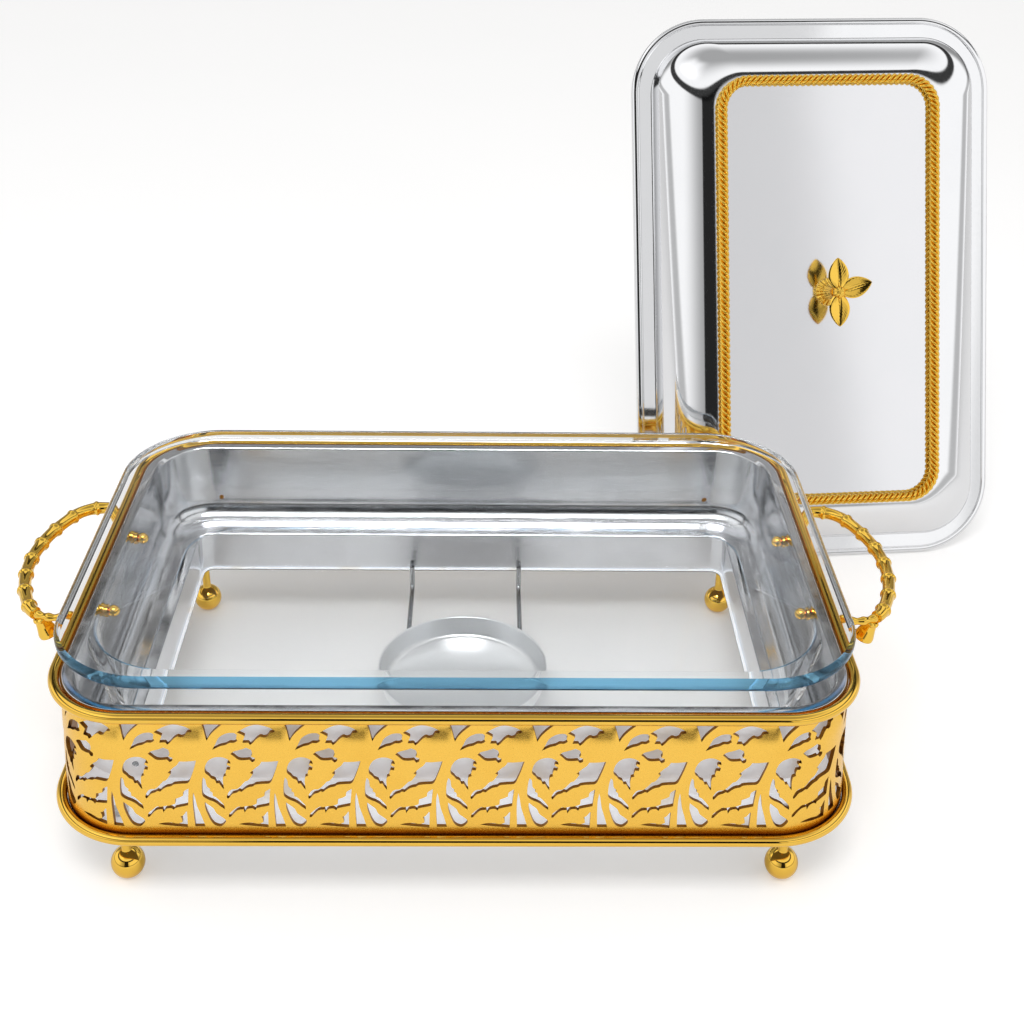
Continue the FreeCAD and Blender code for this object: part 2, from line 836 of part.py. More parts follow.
def bamboo_handle(label, side):
    """One loop handle, drilled for its two screws, on the right end for side 1."""
    pieces = [loop_bar(label)] + loop_knots(label)
    pieces += stub_and_leaf(label + "_front", -1) + stub_and_leaf(label + "_rear", 1)
    casting = fused(label + "_casting", pieces)
    drills = []
    for end in (-1, 1):
        drill = cylinder("%s_drill_%d" % (label, end), screw_r + play, size("boss_length"))
        set_place(drill, (-size("leaf_thick"), screw_y * end, screw_z), (0.0, 90.0, 0.0))
        drills.append(drill)
    handle = cut_away(label, casting, drills)
    set_place(handle, (band_at_screws * side, 0.0, 0.0), (90.0 - 90.0 * side, 0.0, 0.0))
    return keep(handle)


bamboo_handle("left_handle", -1)
bamboo_handle("right_handle", 1)

# The handles' hardware, four of each: screws, spacers between liner and band, washers, ball nuts.
washer_t = size("washer_thick")
nut_ball = size("ball_nut_dia") / 2
liner_in = wall_x
liner_out = wall_x + t
spacer_r = size("spacer_dia") / 2
band_in = band_at_screws - sheet_t - play - spacer_r * lean
screw_tip = band_at_screws + size("boss_length") - size("leaf_thick") - screw_r - washer_t
nut_middle = liner_in - washer_t - nut_ball * cosine(30.0)
screw_head = nut_middle


def four_of(label, make):
    """A group of four, one at each screw, made along +X and turned for the left side."""
    items = []
    for side in (-1, 1):
        for end in (-1, 1):
            item = make("%s_%d" % (label, len(items) + 1))
            set_place(item, (0.0, screw_y * end, screw_z), (90.0 - 90.0 * side, 0.0, 0.0))
            items.append(item)
    return keep(group_of(label, items))


def rod_from(name, radius, start, end):
    """A plain round bar along X."""
    bar = cylinder(name, radius, end - start)
    set_place(bar, (start, 0.0, 0.0), (0.0, 90.0, 0.0))
    return bar


def tube_from(name, radius, bore, start, end):
    """A round tube along X, as one item that can be placed."""
    outside = rod_from(name + "_out", radius, start, end)
    return cut_away(name, outside, [rod_from(name + "_in", bore, start, end)])


def spacer_tube(name):
    """A spacer between the liner's wall and the band."""
    return tube_from(name, spacer_r, screw_r + play, liner_out, band_in)


def flat_washer(name):
    """A washer on the liner's inner face."""
    return tube_from(name, size("washer_dia") / 2, screw_r + play, liner_in - washer_t, liner_in)


def screw_shank(name):
    """A threaded stud with a bevelled tip, from the ball nut into the handle."""
    bevel = screw_r / 4
    shank = rod_from(name + "_shank", screw_r, screw_head, screw_tip - bevel)
    point = doc.addObject("Part::Cone", name + "_tip")
    bind(point, "Radius1", screw_r)
    bind(point, "Radius2", screw_r - bevel)
    bind(point, "Height", bevel)
    set_place(point, (screw_tip - bevel, 0.0, 0.0), (0.0, 90.0, 0.0))
    return fused(name, [shank, point])


def ball_nut(name):
    """A ball with one flat side and a blind bore for the screw."""
    blank = doc.addObject("Part::Sphere", name + "_ball")
    bind(blank, "Radius", nut_ball)
    set_place(blank, (nut_middle, 0.0, 0.0))
    off = liner_in - washer_t
    return cut_away(
        name,
        blank,
        [
            rod_from(name + "_face", nut_ball, off, off + nut_ball),
            rod_from(name + "_bore", screw_r + play, screw_head - screw_r / 2, off),
        ],
    )


four_of("handle_screws", screw_shank)
four_of("handle_spacers", spacer_tube)
four_of("handle_washers", flat_washer)
four_of("handle_ball_nuts", ball_nut)

# Two wires cross the window and turn up at their ends against the base frame. A pan lies on them.
bar = size("burner_wire_dia") / 2
bar_z = size("burner_wire_height")
hook_z = size("burner_hook_height")
hook_bend = size("burner_wire_bend")
hook_y = lower_y - lip - play - bar
burner_x = size("burner_shift")


def burner_wire(label, side):
    """One bent wire."""
    body = new_body(label)
    x = burner_x + size("burner_wire_spacing") / 2 * side
    path = new_sketch(body, label + "_path", "YZ_Plane", x)
    outline(
        path,
        (
            (-hook_y, hook_z),
            (-hook_y, bar_z + hook_bend, hook_bend),
            (-hook_y + hook_bend, bar_z),
            (hook_y - hook_bend, bar_z, hook_bend),
            (hook_y, bar_z + hook_bend),
            (hook_y, hook_z),
        ),
        closed=False,
    )
    section = new_sketch(body, label + "_section", offset=hook_z)
    circle(section, x, -hook_y, bar)
    pipe_along(body, label + "_wire", section, path)
    return keep(body)


burner_wire("burner_wire_left", -1)
burner_wire("burner_wire_right", 1)

pan = new_body("burner_pan")
pan_r = size("pan_dia") / 2
pan_t = size("pan_thick")
pan_z = bar_z + bar + size("pan_rest")
pan_top = pan_z + size("pan_depth")
pan_round = size("pan_round")
pan_in = pan_r - size("pan_taper")
turn_profile(
    pan,
    "pan_pressing",
    (
        (0.0, pan_z),
        (pan_in - pan_round, pan_z, pan_round + pan_t),
        (pan_in + pan_t, pan_z + pan_round + pan_t),
        (pan_r, pan_top - pan_t),
        (pan_r + pan_t, pan_top - pan_t),
        (pan_r + pan_t, pan_top),
        (pan_r - pan_t, pan_top),
        (pan_in, pan_z + pan_round + pan_t, -pan_round),
        (pan_in - pan_round, pan_z + pan_t),
        (0.0, pan_z + pan_t),
    ),
)
place(pan, x=burner_x)
keep(pan)

# The dish is thick pressed glass. Its foot stands on the liner's ledge and its flange hangs clear.
dish_x = size("dish_length") / 2
dish_y = size("dish_width") / 2
dish_z = ledge_z
dish_top = ledge_z + size("dish_height")
flange_z = dish_top - size("flange_thick")
mouth_x = dish_x - size("end_flange")
mouth_y = dish_y - size("side_flange")
mouth_r = size("mouth_corner")
wall = size("glass_wall")
taper = size("dish_taper")
dish = new_body("glass_dish")


def dish_section(name, height, x, y, radius):
    """A rounded outline of the dish at a height."""
    sketch = new_sketch(dish, "dish_" + name, offset=height)
    rounded_rectangle(sketch, x, y, radius)
    return sketch


foot_in = wall - taper
foot = dish_section("foot", dish_z, mouth_x + foot_in, mouth_y + foot_in, mouth_r + foot_in)
neck = dish_section("neck", flange_z, mouth_x + wall, mouth_y + wall, mouth_r + wall)
glass = loft_through(dish, "dish_wall", [foot, neck])
glass = round_off(
    dish,
    "dish_foot_round",
    glass,
    lambda at: abs(at.z - dish_z.value) < 0.01,
    size("dish_foot_round"),
)


def on_flange_edge(at):
    """Whether a point lies on the flange's outer edge, above or below."""
    if at.z < flange_z.value - 0.01:
        return False
    radius = size("dish_corner").value
    over_x = max(abs(at.x) - dish_x.value + radius, 0.0)
    over_y = max(abs(at.y) - dish_y.value + radius, 0.0)
    return math.hypot(over_x, over_y) > radius - 0.01


edge = dish_section("flange", flange_z, dish_x, dish_y, size("dish_corner"))
glass = pad_up(dish, "dish_flange", edge, size("flange_thick"))
glass = round_off(
    dish,
    "dish_flange_round",
    glass,
    on_flange_edge,
    size("flange_round"),
)
floor_z = dish_z + size("glass_floor")
mouth = dish_section("mouth", dish_top, mouth_x, mouth_y, mouth_r)
drop = (dish_top - floor_z) / (flange_z - dish_z) * taper
floor = dish_section("floor", floor_z, mouth_x - drop, mouth_y - drop, mouth_r - drop)
glass = loft_through(dish, "dish_hollow", [mouth, floor], cut=True)
round_off(
    dish,
    "dish_floor_round",
    glass,
    lambda at: abs(at.z - floor_z.value) < 0.01,
    size("dish_floor_round"),
)
keep(dish)

# The lid is a domed cover on a rolled rim. It is drawn lying face up on its own base plane, with
# its length along Y, and then it's stood on one end behind the stand.
lid_x = size("lid_width") / 2
lid_y = size("lid_length") / 2
lid_r = size("lid_corner")
lid_t = size("lid_thick")
rim_top = size("lid_rim_height")
crown = size("lid_height")
panel_x = size("panel_width") / 2
panel_y = size("panel_length") / 2
lid_step = size("lid_rim")
lid_lean = size("lid_lean")
lid_turn = size("lid_turn")
up_run = lid_y * sine(lid_lean)


def stand_up(item):
    """Stands a piece of the lid on the lid's end, leaning back and turned a little."""
    spot = (
        size("lid_place_right") - up_run * sine(lid_turn),
        size("lid_place_back") + up_run * cosine(lid_turn),
        lid_y * cosine(lid_lean),
    )
    set_place(item, spot, (lid_turn, 0.0, as_size(90.0) - lid_lean))


def lid_section(body, name, height, share, depth):
    """The dome's outline, a share of the way in from its foot to the panel, at a depth inside it."""
    sketch = new_sketch(body, "lid_" + name, offset=height)
    foot_r = lid_r - lid_step
    rounded_rectangle(
        sketch,
        lid_x - lid_step - (lid_x - lid_step - panel_x) * share - depth,
        lid_y - lid_step - (lid_y - lid_step - panel_y) * share - depth,
        foot_r - (foot_r - size("panel_corner")) * share - depth,
    )
    return sketch


# Shares of the way up the dome, and of the way in at that height.
DOME = ((0.0, 0.0), (0.3, 0.06), (0.6, 0.22), (0.84, 0.52), (1.0, 1.0))
lid = new_body("lid_shell")
rim_outline = new_sketch(lid, "lid_rim_outline")
rounded_rectangle(rim_outline, lid_x, lid_y, lid_r)
pad_up(lid, "lid_rim_pad", rim_outline, rim_top)
rise = crown - rim_top
skin = [
    lid_section(lid, "skin_%d" % n, rim_top + rise * up, inward, 0.0)
    for n, (up, inward) in enumerate(DOME)
]
loft_through(lid, "lid_dome", skin)
rim_hollow = new_sketch(lid, "lid_rim_hollow_outline")
rounded_rectangle(rim_hollow, lid_x - lid_t, lid_y - lid_t, lid_r - lid_t)
hollow = pocket(lid, "lid_rim_hollow", rim_hollow, rim_top - lid_t)
hollow.Reversed = True
inner = [
    lid_section(lid, "inside_%d" % n, rim_top - lid_t + rise * up, inward, lid_t)
    for n, (up, inward) in enumerate(DOME)
]
loft_through(lid, "lid_hollow", inner, cut=True)
knob_hole = new_sketch(lid, "knob_hole", offset=crown)
knob_screw_r = size("knob_screw_dia") / 2
circle(knob_hole, 0.0, 0.0, knob_screw_r + play)
pocket(lid, "knob_hole_cut", knob_hole, lid_t * 4, through=True)
stand_up(lid)
keep(lid)

rope = new_body("lid_rope_trim")
rope_r = size("rope_dia") / 2
rope_z = crown + rope_r + play
rope_path = new_sketch(rope, "rope_path", offset=rope_z)
rounded_rectangle(rope_path, panel_x - rope_r, panel_y - rope_r, size("panel_corner") - rope_r)
rope_section = new_sketch(rope, "rope_section", "YZ_Plane")
circle(rope_section, rope_r - panel_y, rope_z, rope_r)
pipe_along(rope, "rope_round", rope_section, rope_path)
stand_up(rope)
keep(rope)

# The knob: a fluted foot and neck, a flower of three petals on it, and a screw from inside the lid.
knob_top = crown + size("knob_height")
neck_r = size("knob_neck_dia") / 2
base_r = size("knob_base_dia") / 2
edge_t = size("knob_edge")
bore_r = knob_screw_r + play
screw_up = crown + size("knob_screw_reach")
stem_body = new_body("knob_stem")
turn_profile(
    stem_body,
    "knob_stem_turned",
    (
        (bore_r, crown),
        (base_r, crown),
        (base_r, crown + edge_t, -size("knob_flare")),
        (neck_r, knob_top - edge_t),
        (neck_r, knob_top),
        (0.0, knob_top),
        (0.0, screw_up),
        (bore_r, screw_up),
    ),
)
stand_up(stem_body)
keep(stem_body)

flower = new_body("knob_flower")
heart = new_sketch(flower, "flower_heart", offset=knob_top)
circle(heart, 0.0, 0.0, neck_r + edge_t)
pad_up(flower, "flower_heart_pad", heart, size("petal_thick"))
petal = new_sketch(flower, "petal_outline", offset=knob_top)
outline(
    petal,
    (
        (0.0, neck_r * -1, size("petal_bow")),
        (0.0, size("petal_length"), size("petal_bow")),
    ),
)
petal_pad = pad_up(flower, "petal_pad", petal, size("petal_thick"))
doc.recompute()
petals = flower.newObject("PartDesign::PolarPattern", "petals")
petals.Originals = [petal_pad]
petals.Axis = (petal, ["N_Axis"])
petals.Angle = 180.0
petals.Occurrences = 3
petals.Reversed = True
flower.Tip = petals
stand_up(flower)
keep(flower)

washer_r = size("knob_washer_dia") / 2
inside = crown - lid_t
screw_body = new_body("knob_screw")
head_z = inside - washer_t
turn_profile(
    screw_body,
    "knob_screw_turned",
    (
        (0.0, head_z - size("knob_screw_head")),
        (knob_screw_r * 2, head_z - size("knob_screw_head")),
        (knob_screw_r * 2, head_z),
        (knob_screw_r, head_z),
        (knob_screw_r, screw_up - play),
        (0.0, screw_up - play),
    ),
)
stand_up(screw_body)
keep(screw_body)

washer_body = new_body("knob_washer")
turn_profile(
    washer_body,
    "knob_washer_turned",
    ((bore_r, head_z), (washer_r, head_z), (washer_r, inside), (bore_r, inside)),
)
stand_up(washer_body)
keep(washer_body)

doc.recompute()
faults = [item.Name for item in doc.Objects if {"Invalid", "Error"} & set(item.State)]
faults += [item.Label for item in PARTS if item.Shape.isNull() or not item.Shape.isValid()]
if faults:
    raise RuntimeError("These did not build: %s" % ", ".join(faults))
os.makedirs("parts", exist_ok=True)
for item in PARTS:
    item.Shape.exportStep("parts/%s.step" % item.Label)
    print("%-24s %3d solids %12.1f mm3" % (item.Label, len(item.Shape.Solids), item.Shape.Volume))
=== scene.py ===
import math

import bmesh
import bpy
from mathutils import Euler, Matrix, Vector
from mathutils.geometry import delaunay_2d_cdt


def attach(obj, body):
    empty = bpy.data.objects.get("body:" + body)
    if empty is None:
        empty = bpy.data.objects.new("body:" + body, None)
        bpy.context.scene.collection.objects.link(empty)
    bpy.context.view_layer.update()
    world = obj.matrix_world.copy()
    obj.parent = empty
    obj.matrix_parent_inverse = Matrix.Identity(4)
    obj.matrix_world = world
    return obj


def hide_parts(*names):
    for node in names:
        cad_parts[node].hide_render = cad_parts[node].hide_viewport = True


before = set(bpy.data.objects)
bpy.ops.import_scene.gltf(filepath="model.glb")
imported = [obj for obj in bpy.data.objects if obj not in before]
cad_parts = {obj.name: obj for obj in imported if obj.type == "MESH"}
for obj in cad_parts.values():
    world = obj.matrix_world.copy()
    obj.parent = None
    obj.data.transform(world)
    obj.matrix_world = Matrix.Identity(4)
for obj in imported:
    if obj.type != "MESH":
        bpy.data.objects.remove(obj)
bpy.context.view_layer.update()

# Lengths below are in millimetres and angles in degrees, in the object's own frame.
MM = 0.001
SCENE = bpy.context.scene
UP = Vector((0, 0, 1))


# The camera, as worked out from the photograph's outlines.
CAMERA_PLACE = Vector((13.12, -677.54, 557.25))
CAMERA_PITCH = 0.4677
CAMERA_YAW = 0.0209
CAMERA_ROLL = 0.0168
FOCAL_PIXELS = 1450
IMAGE_PIXELS = 1024
AXIS_ROW = 400
SENSOR = 36


def add_camera():
    """The camera at the photograph's viewing angle."""
    flat = math.cos(CAMERA_PITCH)
    ahead = Vector((math.sin(CAMERA_YAW) * flat, math.cos(CAMERA_YAW) * flat, -math.sin(CAMERA_PITCH)))
    level = Vector((math.cos(CAMERA_YAW), -math.sin(CAMERA_YAW), 0))
    above = level.cross(ahead)
    right = level * math.cos(CAMERA_ROLL) + above * math.sin(CAMERA_ROLL)
    up = above * math.cos(CAMERA_ROLL) - level * math.sin(CAMERA_ROLL)
    lens = bpy.data.cameras.new("photo_camera")
    lens.sensor_width = SENSOR
    lens.lens = FOCAL_PIXELS / IMAGE_PIXELS * SENSOR
    lens.shift_y = (AXIS_ROW - IMAGE_PIXELS / 2) / IMAGE_PIXELS
    lens.clip_start = 0.01
    lens.clip_end = 60
    camera = bpy.data.objects.new("photo_camera", lens)
    turn = Matrix((right, up, -ahead)).transposed().to_4x4()
    camera.matrix_world = Matrix.Translation(CAMERA_PLACE * MM) @ turn
    SCENE.collection.objects.link(camera)
    SCENE.camera = camera


add_camera()
SCENE.view_settings.view_transform = "Standard"


class Graph:
    """A short way to build a node tree. An input is a value or another node's socket."""

    def __init__(self, owner):
        owner.use_nodes = True
        self.owner = owner
        self.tree = owner.node_tree
        self.tree.nodes.clear()

    def put(self, socket, value):
        if isinstance(value, bpy.types.NodeSocket):
            self.tree.links.new(value, socket)
        else:
            socket.default_value = value

    def add(self, kind, inputs=(), **options):
        node = self.tree.nodes.new("ShaderNode" + kind)
        for name, value in options.items():
            setattr(node, name, value)
        for name, value in dict(inputs).items():
            self.put(node.inputs[name], value)
        return node

    def finish(self, shader, kind="OutputMaterial"):
        """Show the shader, and return the material."""
        self.add(kind, {"Surface": shader.outputs[0]})
        return self.owner

    def split(self, vector):
        """The x, y and z of a vector."""
        return self.add("SeparateXYZ", {"Vector": vector}).outputs

    def math(self, operation, first, second=0):
        node = self.add("Math", operation=operation)
        self.put(node.inputs[0], first)
        self.put(node.inputs[1], second)
        return node.outputs[0]

    def times(self, first, second):
        return self.math("MULTIPLY", first, second)

    def smooth(self, value, low, high, start=0, end=1):
        """A soft step from start to end, as the value goes from low to high."""
        inputs = {"Value": value, "From Min": low, "From Max": high, "To Min": start, "To Max": end}
        return self.add("MapRange", inputs, interpolation_type="SMOOTHSTEP").outputs[0]

    def between(self, value, low, high, blur):
        """1 between two limits, with soft edges."""
        rising = self.smooth(value, low - blur, low + blur)
        falling = self.smooth(value, high - blur, high + blur, 1, 0)
        return self.times(rising, falling)

    def noise(self, place, scale, detail=2, rough=0.5):
        inputs = {"Vector": place, "Scale": scale, "Detail": detail, "Roughness": rough}
        return self.add("TexNoise", inputs).outputs["Fac"]

    def stretched(self, place, scale):
        return self.add("Mapping", {"Vector": place, "Scale": scale}).outputs[0]

    def mix(self, share, first, second):
        node = self.add("Mix", data_type="RGBA")
        self.put(node.inputs[0], share)
        self.put(node.inputs[6], first)
        self.put(node.inputs[7], second)
        return node.outputs[2]

    def bump(self, height, depth, normal=None):
        """The normal of a surface that rises with the height, by a depth in metres."""
        inputs = {"Strength": 1, "Distance": depth, "Height": height}
        if normal is not None:
            inputs["Normal"] = normal
        return self.add("Bump", inputs).outputs[0]


def new_material(name):
    """The graph of a new material, and its object coordinates."""
    graph = Graph(bpy.data.materials.new(name))
    return graph, graph.add("TexCoord").outputs["Object"]


def metal(
    name, colour, dull_colour, rough, rough_more, grain, depth, stretch=(1, 1, 1), sway=0, shaded=None
):
    """Bare or plated metal: cloudy polish, faint rubbing marks, a fine grain and a drawn sheet's sway.

    A shaded metal, given as (low, high, colour), takes that colour as painted shade, from high down to low.
    """
    graph, place = new_material(name)
    cloud = graph.noise(place, 35, 3, 0.6)
    lines = graph.noise(graph.stretched(place, stretch), grain, 4, 0.65)
    tone = graph.smooth(cloud, 0.4, 0.75, 0, 0.35)
    tint = graph.mix(tone, (*colour, 1), (*dull_colour, 1))
    polish = graph.smooth(lines, 0.3, 0.75, rough, rough_more)
    if shaded:
        low, high, shade = shaded
        # Painted shade: the unshaded share rises from low to high.
        unshaded = graph.smooth(graph.split(place)[2], low * MM, high * MM)
        tint = graph.mix(unshaded, (*shade, 1), tint)
    swell = graph.bump(graph.noise(place, 24, 1, 0.4), sway) if sway else None
    inputs = {"Metallic": 1, "Base Color": tint, "Roughness": polish}
    inputs["Normal"] = graph.bump(lines, depth, swell)
    return graph.finish(graph.add("BsdfPrincipled", inputs))


GOLD = metal("gold_plate", (0.9, 0.56, 0.09), (0.82, 0.46, 0.06), 0.03, 0.1, 900, 4e-6)
# The band's foot darkens to brown towards the lower wire: painted shade between band and wire.
GOLD_BAND = metal(
    "gold_satin_band", (0.95, 0.58, 0.1), (0.88, 0.5, 0.07), 0.2, 0.32, 700, 1e-5, (1, 1, 9),
    shaded=(42.5, 49.5, (0.12, 0.035, 0.004)),
)
# Dark gold for the band's cut edges and inner face, and for the handle screws: painted shade.
GOLD_PAINTED_SHADE = metal("gold_cut_edge_painted_shade", (0.3, 0.13, 0.02), (0.18, 0.07, 0.01), 0.3, 0.45, 700, 1e-5)
GOLD_CAST = metal("gold_cast", (0.9, 0.57, 0.09), (0.8, 0.45, 0.05), 0.04, 0.12, 420, 1.5e-5)
STEEL = metal(
    "steel_drawn", (0.7, 0.705, 0.72), (0.58, 0.585, 0.6), 0.12, 0.24, 900, 1.2e-5, (0.06, 0.06, 1),
    sway=0.0007,
)
STEEL_LID = metal("steel_lid", (0.86, 0.865, 0.88), (0.82, 0.825, 0.84), 0.04, 0.08, 500, 2e-6)
STEEL_SATIN = metal(
    "steel_satin_panel", (0.8, 0.8, 0.82), (0.77, 0.78, 0.8), 0.07, 0.11, 500, 3e-6, (9, 9, 1)
)
STEEL_PAN = metal("steel_pan", (0.86, 0.865, 0.87), (0.82, 0.825, 0.83), 0.3, 0.34, 90, 5e-7)
STEEL_WIRE = metal("steel_wire", (0.42, 0.43, 0.44), (0.36, 0.36, 0.37), 0.12, 0.2, 700, 1e-6)
STEEL_PLAIN = metal("steel_plain", (0.6, 0.61, 0.62), (0.52, 0.52, 0.53), 0.25, 0.4, 700, 1e-5)


def pale_sheet():
    """The hidden sheet behind the pierced band: pale and matt, and glowing as painted light, so that the
    openings look light.

    Below the band's foot it is dark, painted shade on the underside. Its brown patches are a painted
    reflection of the gold band.
    """
    graph, place = new_material("steel_sheet_painted_glow")
    cloud = graph.noise(graph.stretched(place, (1, 1, 0.6)), 42, 2, 0.5)
    # Brown patches: a painted reflection of the gold band.
    share = graph.smooth(cloud, 0.5, 0.72, 0, 0.45)
    tint = graph.mix(share, (0.8, 0.82, 0.85, 1), (0.6, 0.5, 0.34, 1))
    # Painted shade: dark below the band's foot, on the underside.
    above = graph.smooth(graph.split(place)[2], DARK_BELOW * MM, PALE_ABOVE * MM)
    tint = graph.mix(above, (0.09, 0.07, 0.05, 1), tint)
    polish = graph.smooth(cloud, 0.3, 0.7, 0.5, 0.7)
    # The emission is a painted glow: the sheet is no lamp.
    inputs = {"Base Color": tint, "Roughness": polish, "Emission Color": tint, "Emission Strength": 0.36}
    return graph.finish(graph.add("BsdfPrincipled", inputs))


# Below the first height the sheet is painted dark as shade, and above the second it is pale and glows as
# painted light.
DARK_BELOW = 40.3
PALE_ABOVE = 40.9
STEEL_PAINTED_GLOW = pale_sheet()


def glass_shader(graph, tint, bend, coat=0):
    """A clear shader with a refraction of its own, and a coat for its highlights."""
    inputs = {"Base Color": tint, "Roughness": 0, "IOR": bend, "Transmission Weight": 1}
    if coat:
        inputs.update({"Coat Weight": coat, "Coat Roughness": 0, "Coat IOR": GLASS_BEND})
    return graph.add("BsdfPrincipled", inputs)


def clear_glass(name, shine):
    """Clear pressed glass, slightly wavy, as pressed ware is."""
    graph, place = new_material(name)
    shader = glass_shader(graph, (0.985, 0.995, 1, 1), 1.03, shine)
    waves = graph.noise(place, 18, 1, 0.4)
    graph.put(shader.inputs["Coat Normal"], graph.bump(waves, 8e-5))
    return graph.finish(shader)


def rim_glass():
    """The flange's rounded edge at the ends and the back, which bends the gold wire's picture."""
    graph, place = new_material("clear_glass_rim")
    streaks = graph.noise(graph.stretched(place, (1, 1, 6)), 30, 1, 0.5)
    tint = graph.mix(streaks, (0.93, 0.96, 0.98, 1), (1, 1, 1, 1))
    return graph.finish(glass_shader(graph, tint, GLASS_BEND))


def foot_glass():
    """The thick rounded edge of the dish's base, where the glass shows its colour."""
    graph, place = new_material("clear_glass_foot")
    streaks = graph.noise(graph.stretched(place, (1, 0.15, 8)), 60, 2, 0.5)
    tint = graph.mix(graph.smooth(streaks, 0.35, 0.65), (0.5, 0.72, 0.92, 1), (0.93, 0.97, 1, 1))
    return graph.finish(glass_shader(graph, tint, 1.2))


def blue_glass():
    """The front edge's thick glass: blue, deeper towards its lower edge, and clear towards the back."""
    graph, place = new_material("blue_glass")
    _, depth, height = graph.split(place)
    waves = graph.noise(graph.stretched(place, (8, 8, 60)), 4, 2, 0.5)
    rise = graph.math("ADD", height, graph.times(waves, 0.003))
    level = graph.smooth(rise, (DISH_TOP - FLANGE + 2) * MM, (DISH_TOP - 0.5) * MM)
    blue = graph.mix(level, (0.003, 0.06, 0.22, 1), (0.06, 0.33, 0.66, 1))
    side = graph.smooth(depth, BLUE_TO * MM, CLEAR_FROM * MM)
    tint = graph.mix(side, blue, (0.97, 0.985, 1, 1))
    return graph.finish(glass_shader(graph, tint, 1.15, 0.2))


DISH_TOP = 130
FLANGE = 7
GLASS_BEND = 1.47
# Along Y, the blue glass is blue up to the first of these and clear from the second.
BLUE_TO = -112
CLEAR_FROM = -66
GLASS = clear_glass("clear_glass", 0.4)
GLASS_BASE = clear_glass("clear_glass_base", 0.12)
GLASS_EDGE = blue_glass()
GLASS_FOOT = foot_glass()
GLASS_RIM = rim_glass()


def solid_mesh(name, points, faces):
    """A mesh from points in millimetres, with doubles merged and faces turned outward."""
    mesh = bpy.data.meshes.new(name)
    mesh.from_pydata([Vector(point) * MM for point in points], [], faces)
    work = bmesh.new()
    work.from_mesh(mesh)
    bmesh.ops.remove_doubles(work, verts=work.verts, dist=1e-6)
    bmesh.ops.recalc_face_normals(work, faces=work.faces)
    work.to_mesh(mesh)
    work.free()
    return mesh


def dress(name, mesh, body, node, materials, sharp):
    """The object of a finished mesh, which stands for a node of the frame."""
    for material in materials:
        mesh.materials.append(material)
    mesh.shade_smooth()
    mesh.set_sharp_from_angle(angle=math.radians(sharp))
    piece = bpy.data.objects.new(name, mesh)
    SCENE.collection.objects.link(piece)
    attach(piece, body)
    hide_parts(node)
    return piece


def add_piece(name, form, body, node, materials, slot, sharp=50, place=None):
    """A piece from a form, which is its points in millimetres and its faces, moved by a matrix."""
    points, faces = form
    if place:
        points = [place @ Vector(point) for point in points]
    return dress(name, solid_mesh(name, points, faces), body, node, materials, sharp)


def rounded_loop(half_x, half_y, radius, height, steps=28):
    """The points of a level rounded rectangle, counter-clockwise seen from above."""
    points = []
    for turn, (side_x, side_y) in enumerate(((1, -1), (1, 1), (-1, 1), (-1, -1))):
        for step in range(steps + 1):
            angle = math.radians(turn * 90 - 90 + 90 * step / steps)
            x = (half_x - radius) * side_x + radius * math.cos(angle)
            y = (half_y - radius) * side_y + radius * math.sin(angle)
            points.append((x, y, height))
    return points


def skin_loops(loops, around=False):
    """The form between loops of equally many points, capped unless it comes round to its start."""
    count = len(loops[0])
    points = [point for loop in loops for point in loop]
    faces = []
    for level in range(len(loops) if around else len(loops) - 1):
        here = level * count
        there = (level + 1) % len(loops) * count
        for spot in range(count):
            after = (spot + 1) % count
            faces.append((here + spot, here + after, there + after, there + spot))
    if not around:
        faces.append(tuple(range(count)))
        faces.append(tuple(range(len(points) - count, len(points))))
    return points, faces


def filleted(corners, steps=6, closed=False):
    """A flat line with its corners rounded. Each corner is (across, up, radius)."""
    line = []
    for number, (across, up, radius) in enumerate(corners):
        corner = Vector((across, up))
        end = not closed and number in (0, len(corners) - 1)
        if radius == 0 or end:
            line.append(corner)
            continue
        back = Vector(corners[number - 1][:2]) - corner
        on = Vector(corners[(number + 1) % len(corners)][:2]) - corner
        half = back.angle(on) / 2
        cut = min(radius / math.tan(half), 0.49 * back.length, 0.49 * on.length)
        real = cut * math.tan(half)
        middle = corner + (back.normalized() + on.normalized()).normalized() * (real / math.sin(half))
        start = corner + back.normalized() * cut - middle
        finish = corner + on.normalized() * cut - middle
        sweep = start.angle(finish)
        for step in range(steps + 1):
            share = step / steps
            weight = math.sin((1 - share) * sweep), math.sin(share * sweep)
            line.append(middle + (start * weight[0] + finish * weight[1]) / math.sin(sweep))
    return line


def ring_piece(name, half_x, half_y, radius, profile, *details):
    """A closed profile of (outward, height) carried round a rounded rectangle, on the stand."""
    loops = []
    for out, height in profile:
        loops.append(rounded_loop(half_x + out, half_y + out, radius + out, height))
    return add_piece(name, skin_loops(loops, around=True), "stand", *details)


def circle_profile(radius, height, sides=28):
    """A round section of (outward, height)."""
    turns = [math.tau * side / sides for side in range(sides)]
    return [(radius * math.cos(turn), height + radius * math.sin(turn)) for turn in turns]


def turned(profile, sides, flutes=0, flute_depth=0):
    """A turned form. The profile is (radius, height), or (radius, height, share of fluting)."""
    loops = []
    for radius, height, *more in profile:
        share = more[0] if more else 0
        loop = []
        for side in range(sides):
            turn = math.tau * side / sides
            out = radius - flute_depth * share * (0.5 + 0.5 * math.cos(flutes * turn))
            loop.append((out * math.cos(turn), out * math.sin(turn), height))
        loops.append(loop)
    return skin_loops(loops)


def run_lengths(line):
    """How far along a line each of its points lies."""
    lengths = [0]
    for one, two in zip(line, line[1:]):
        lengths.append(lengths[-1] + (two - one).length)
    return lengths


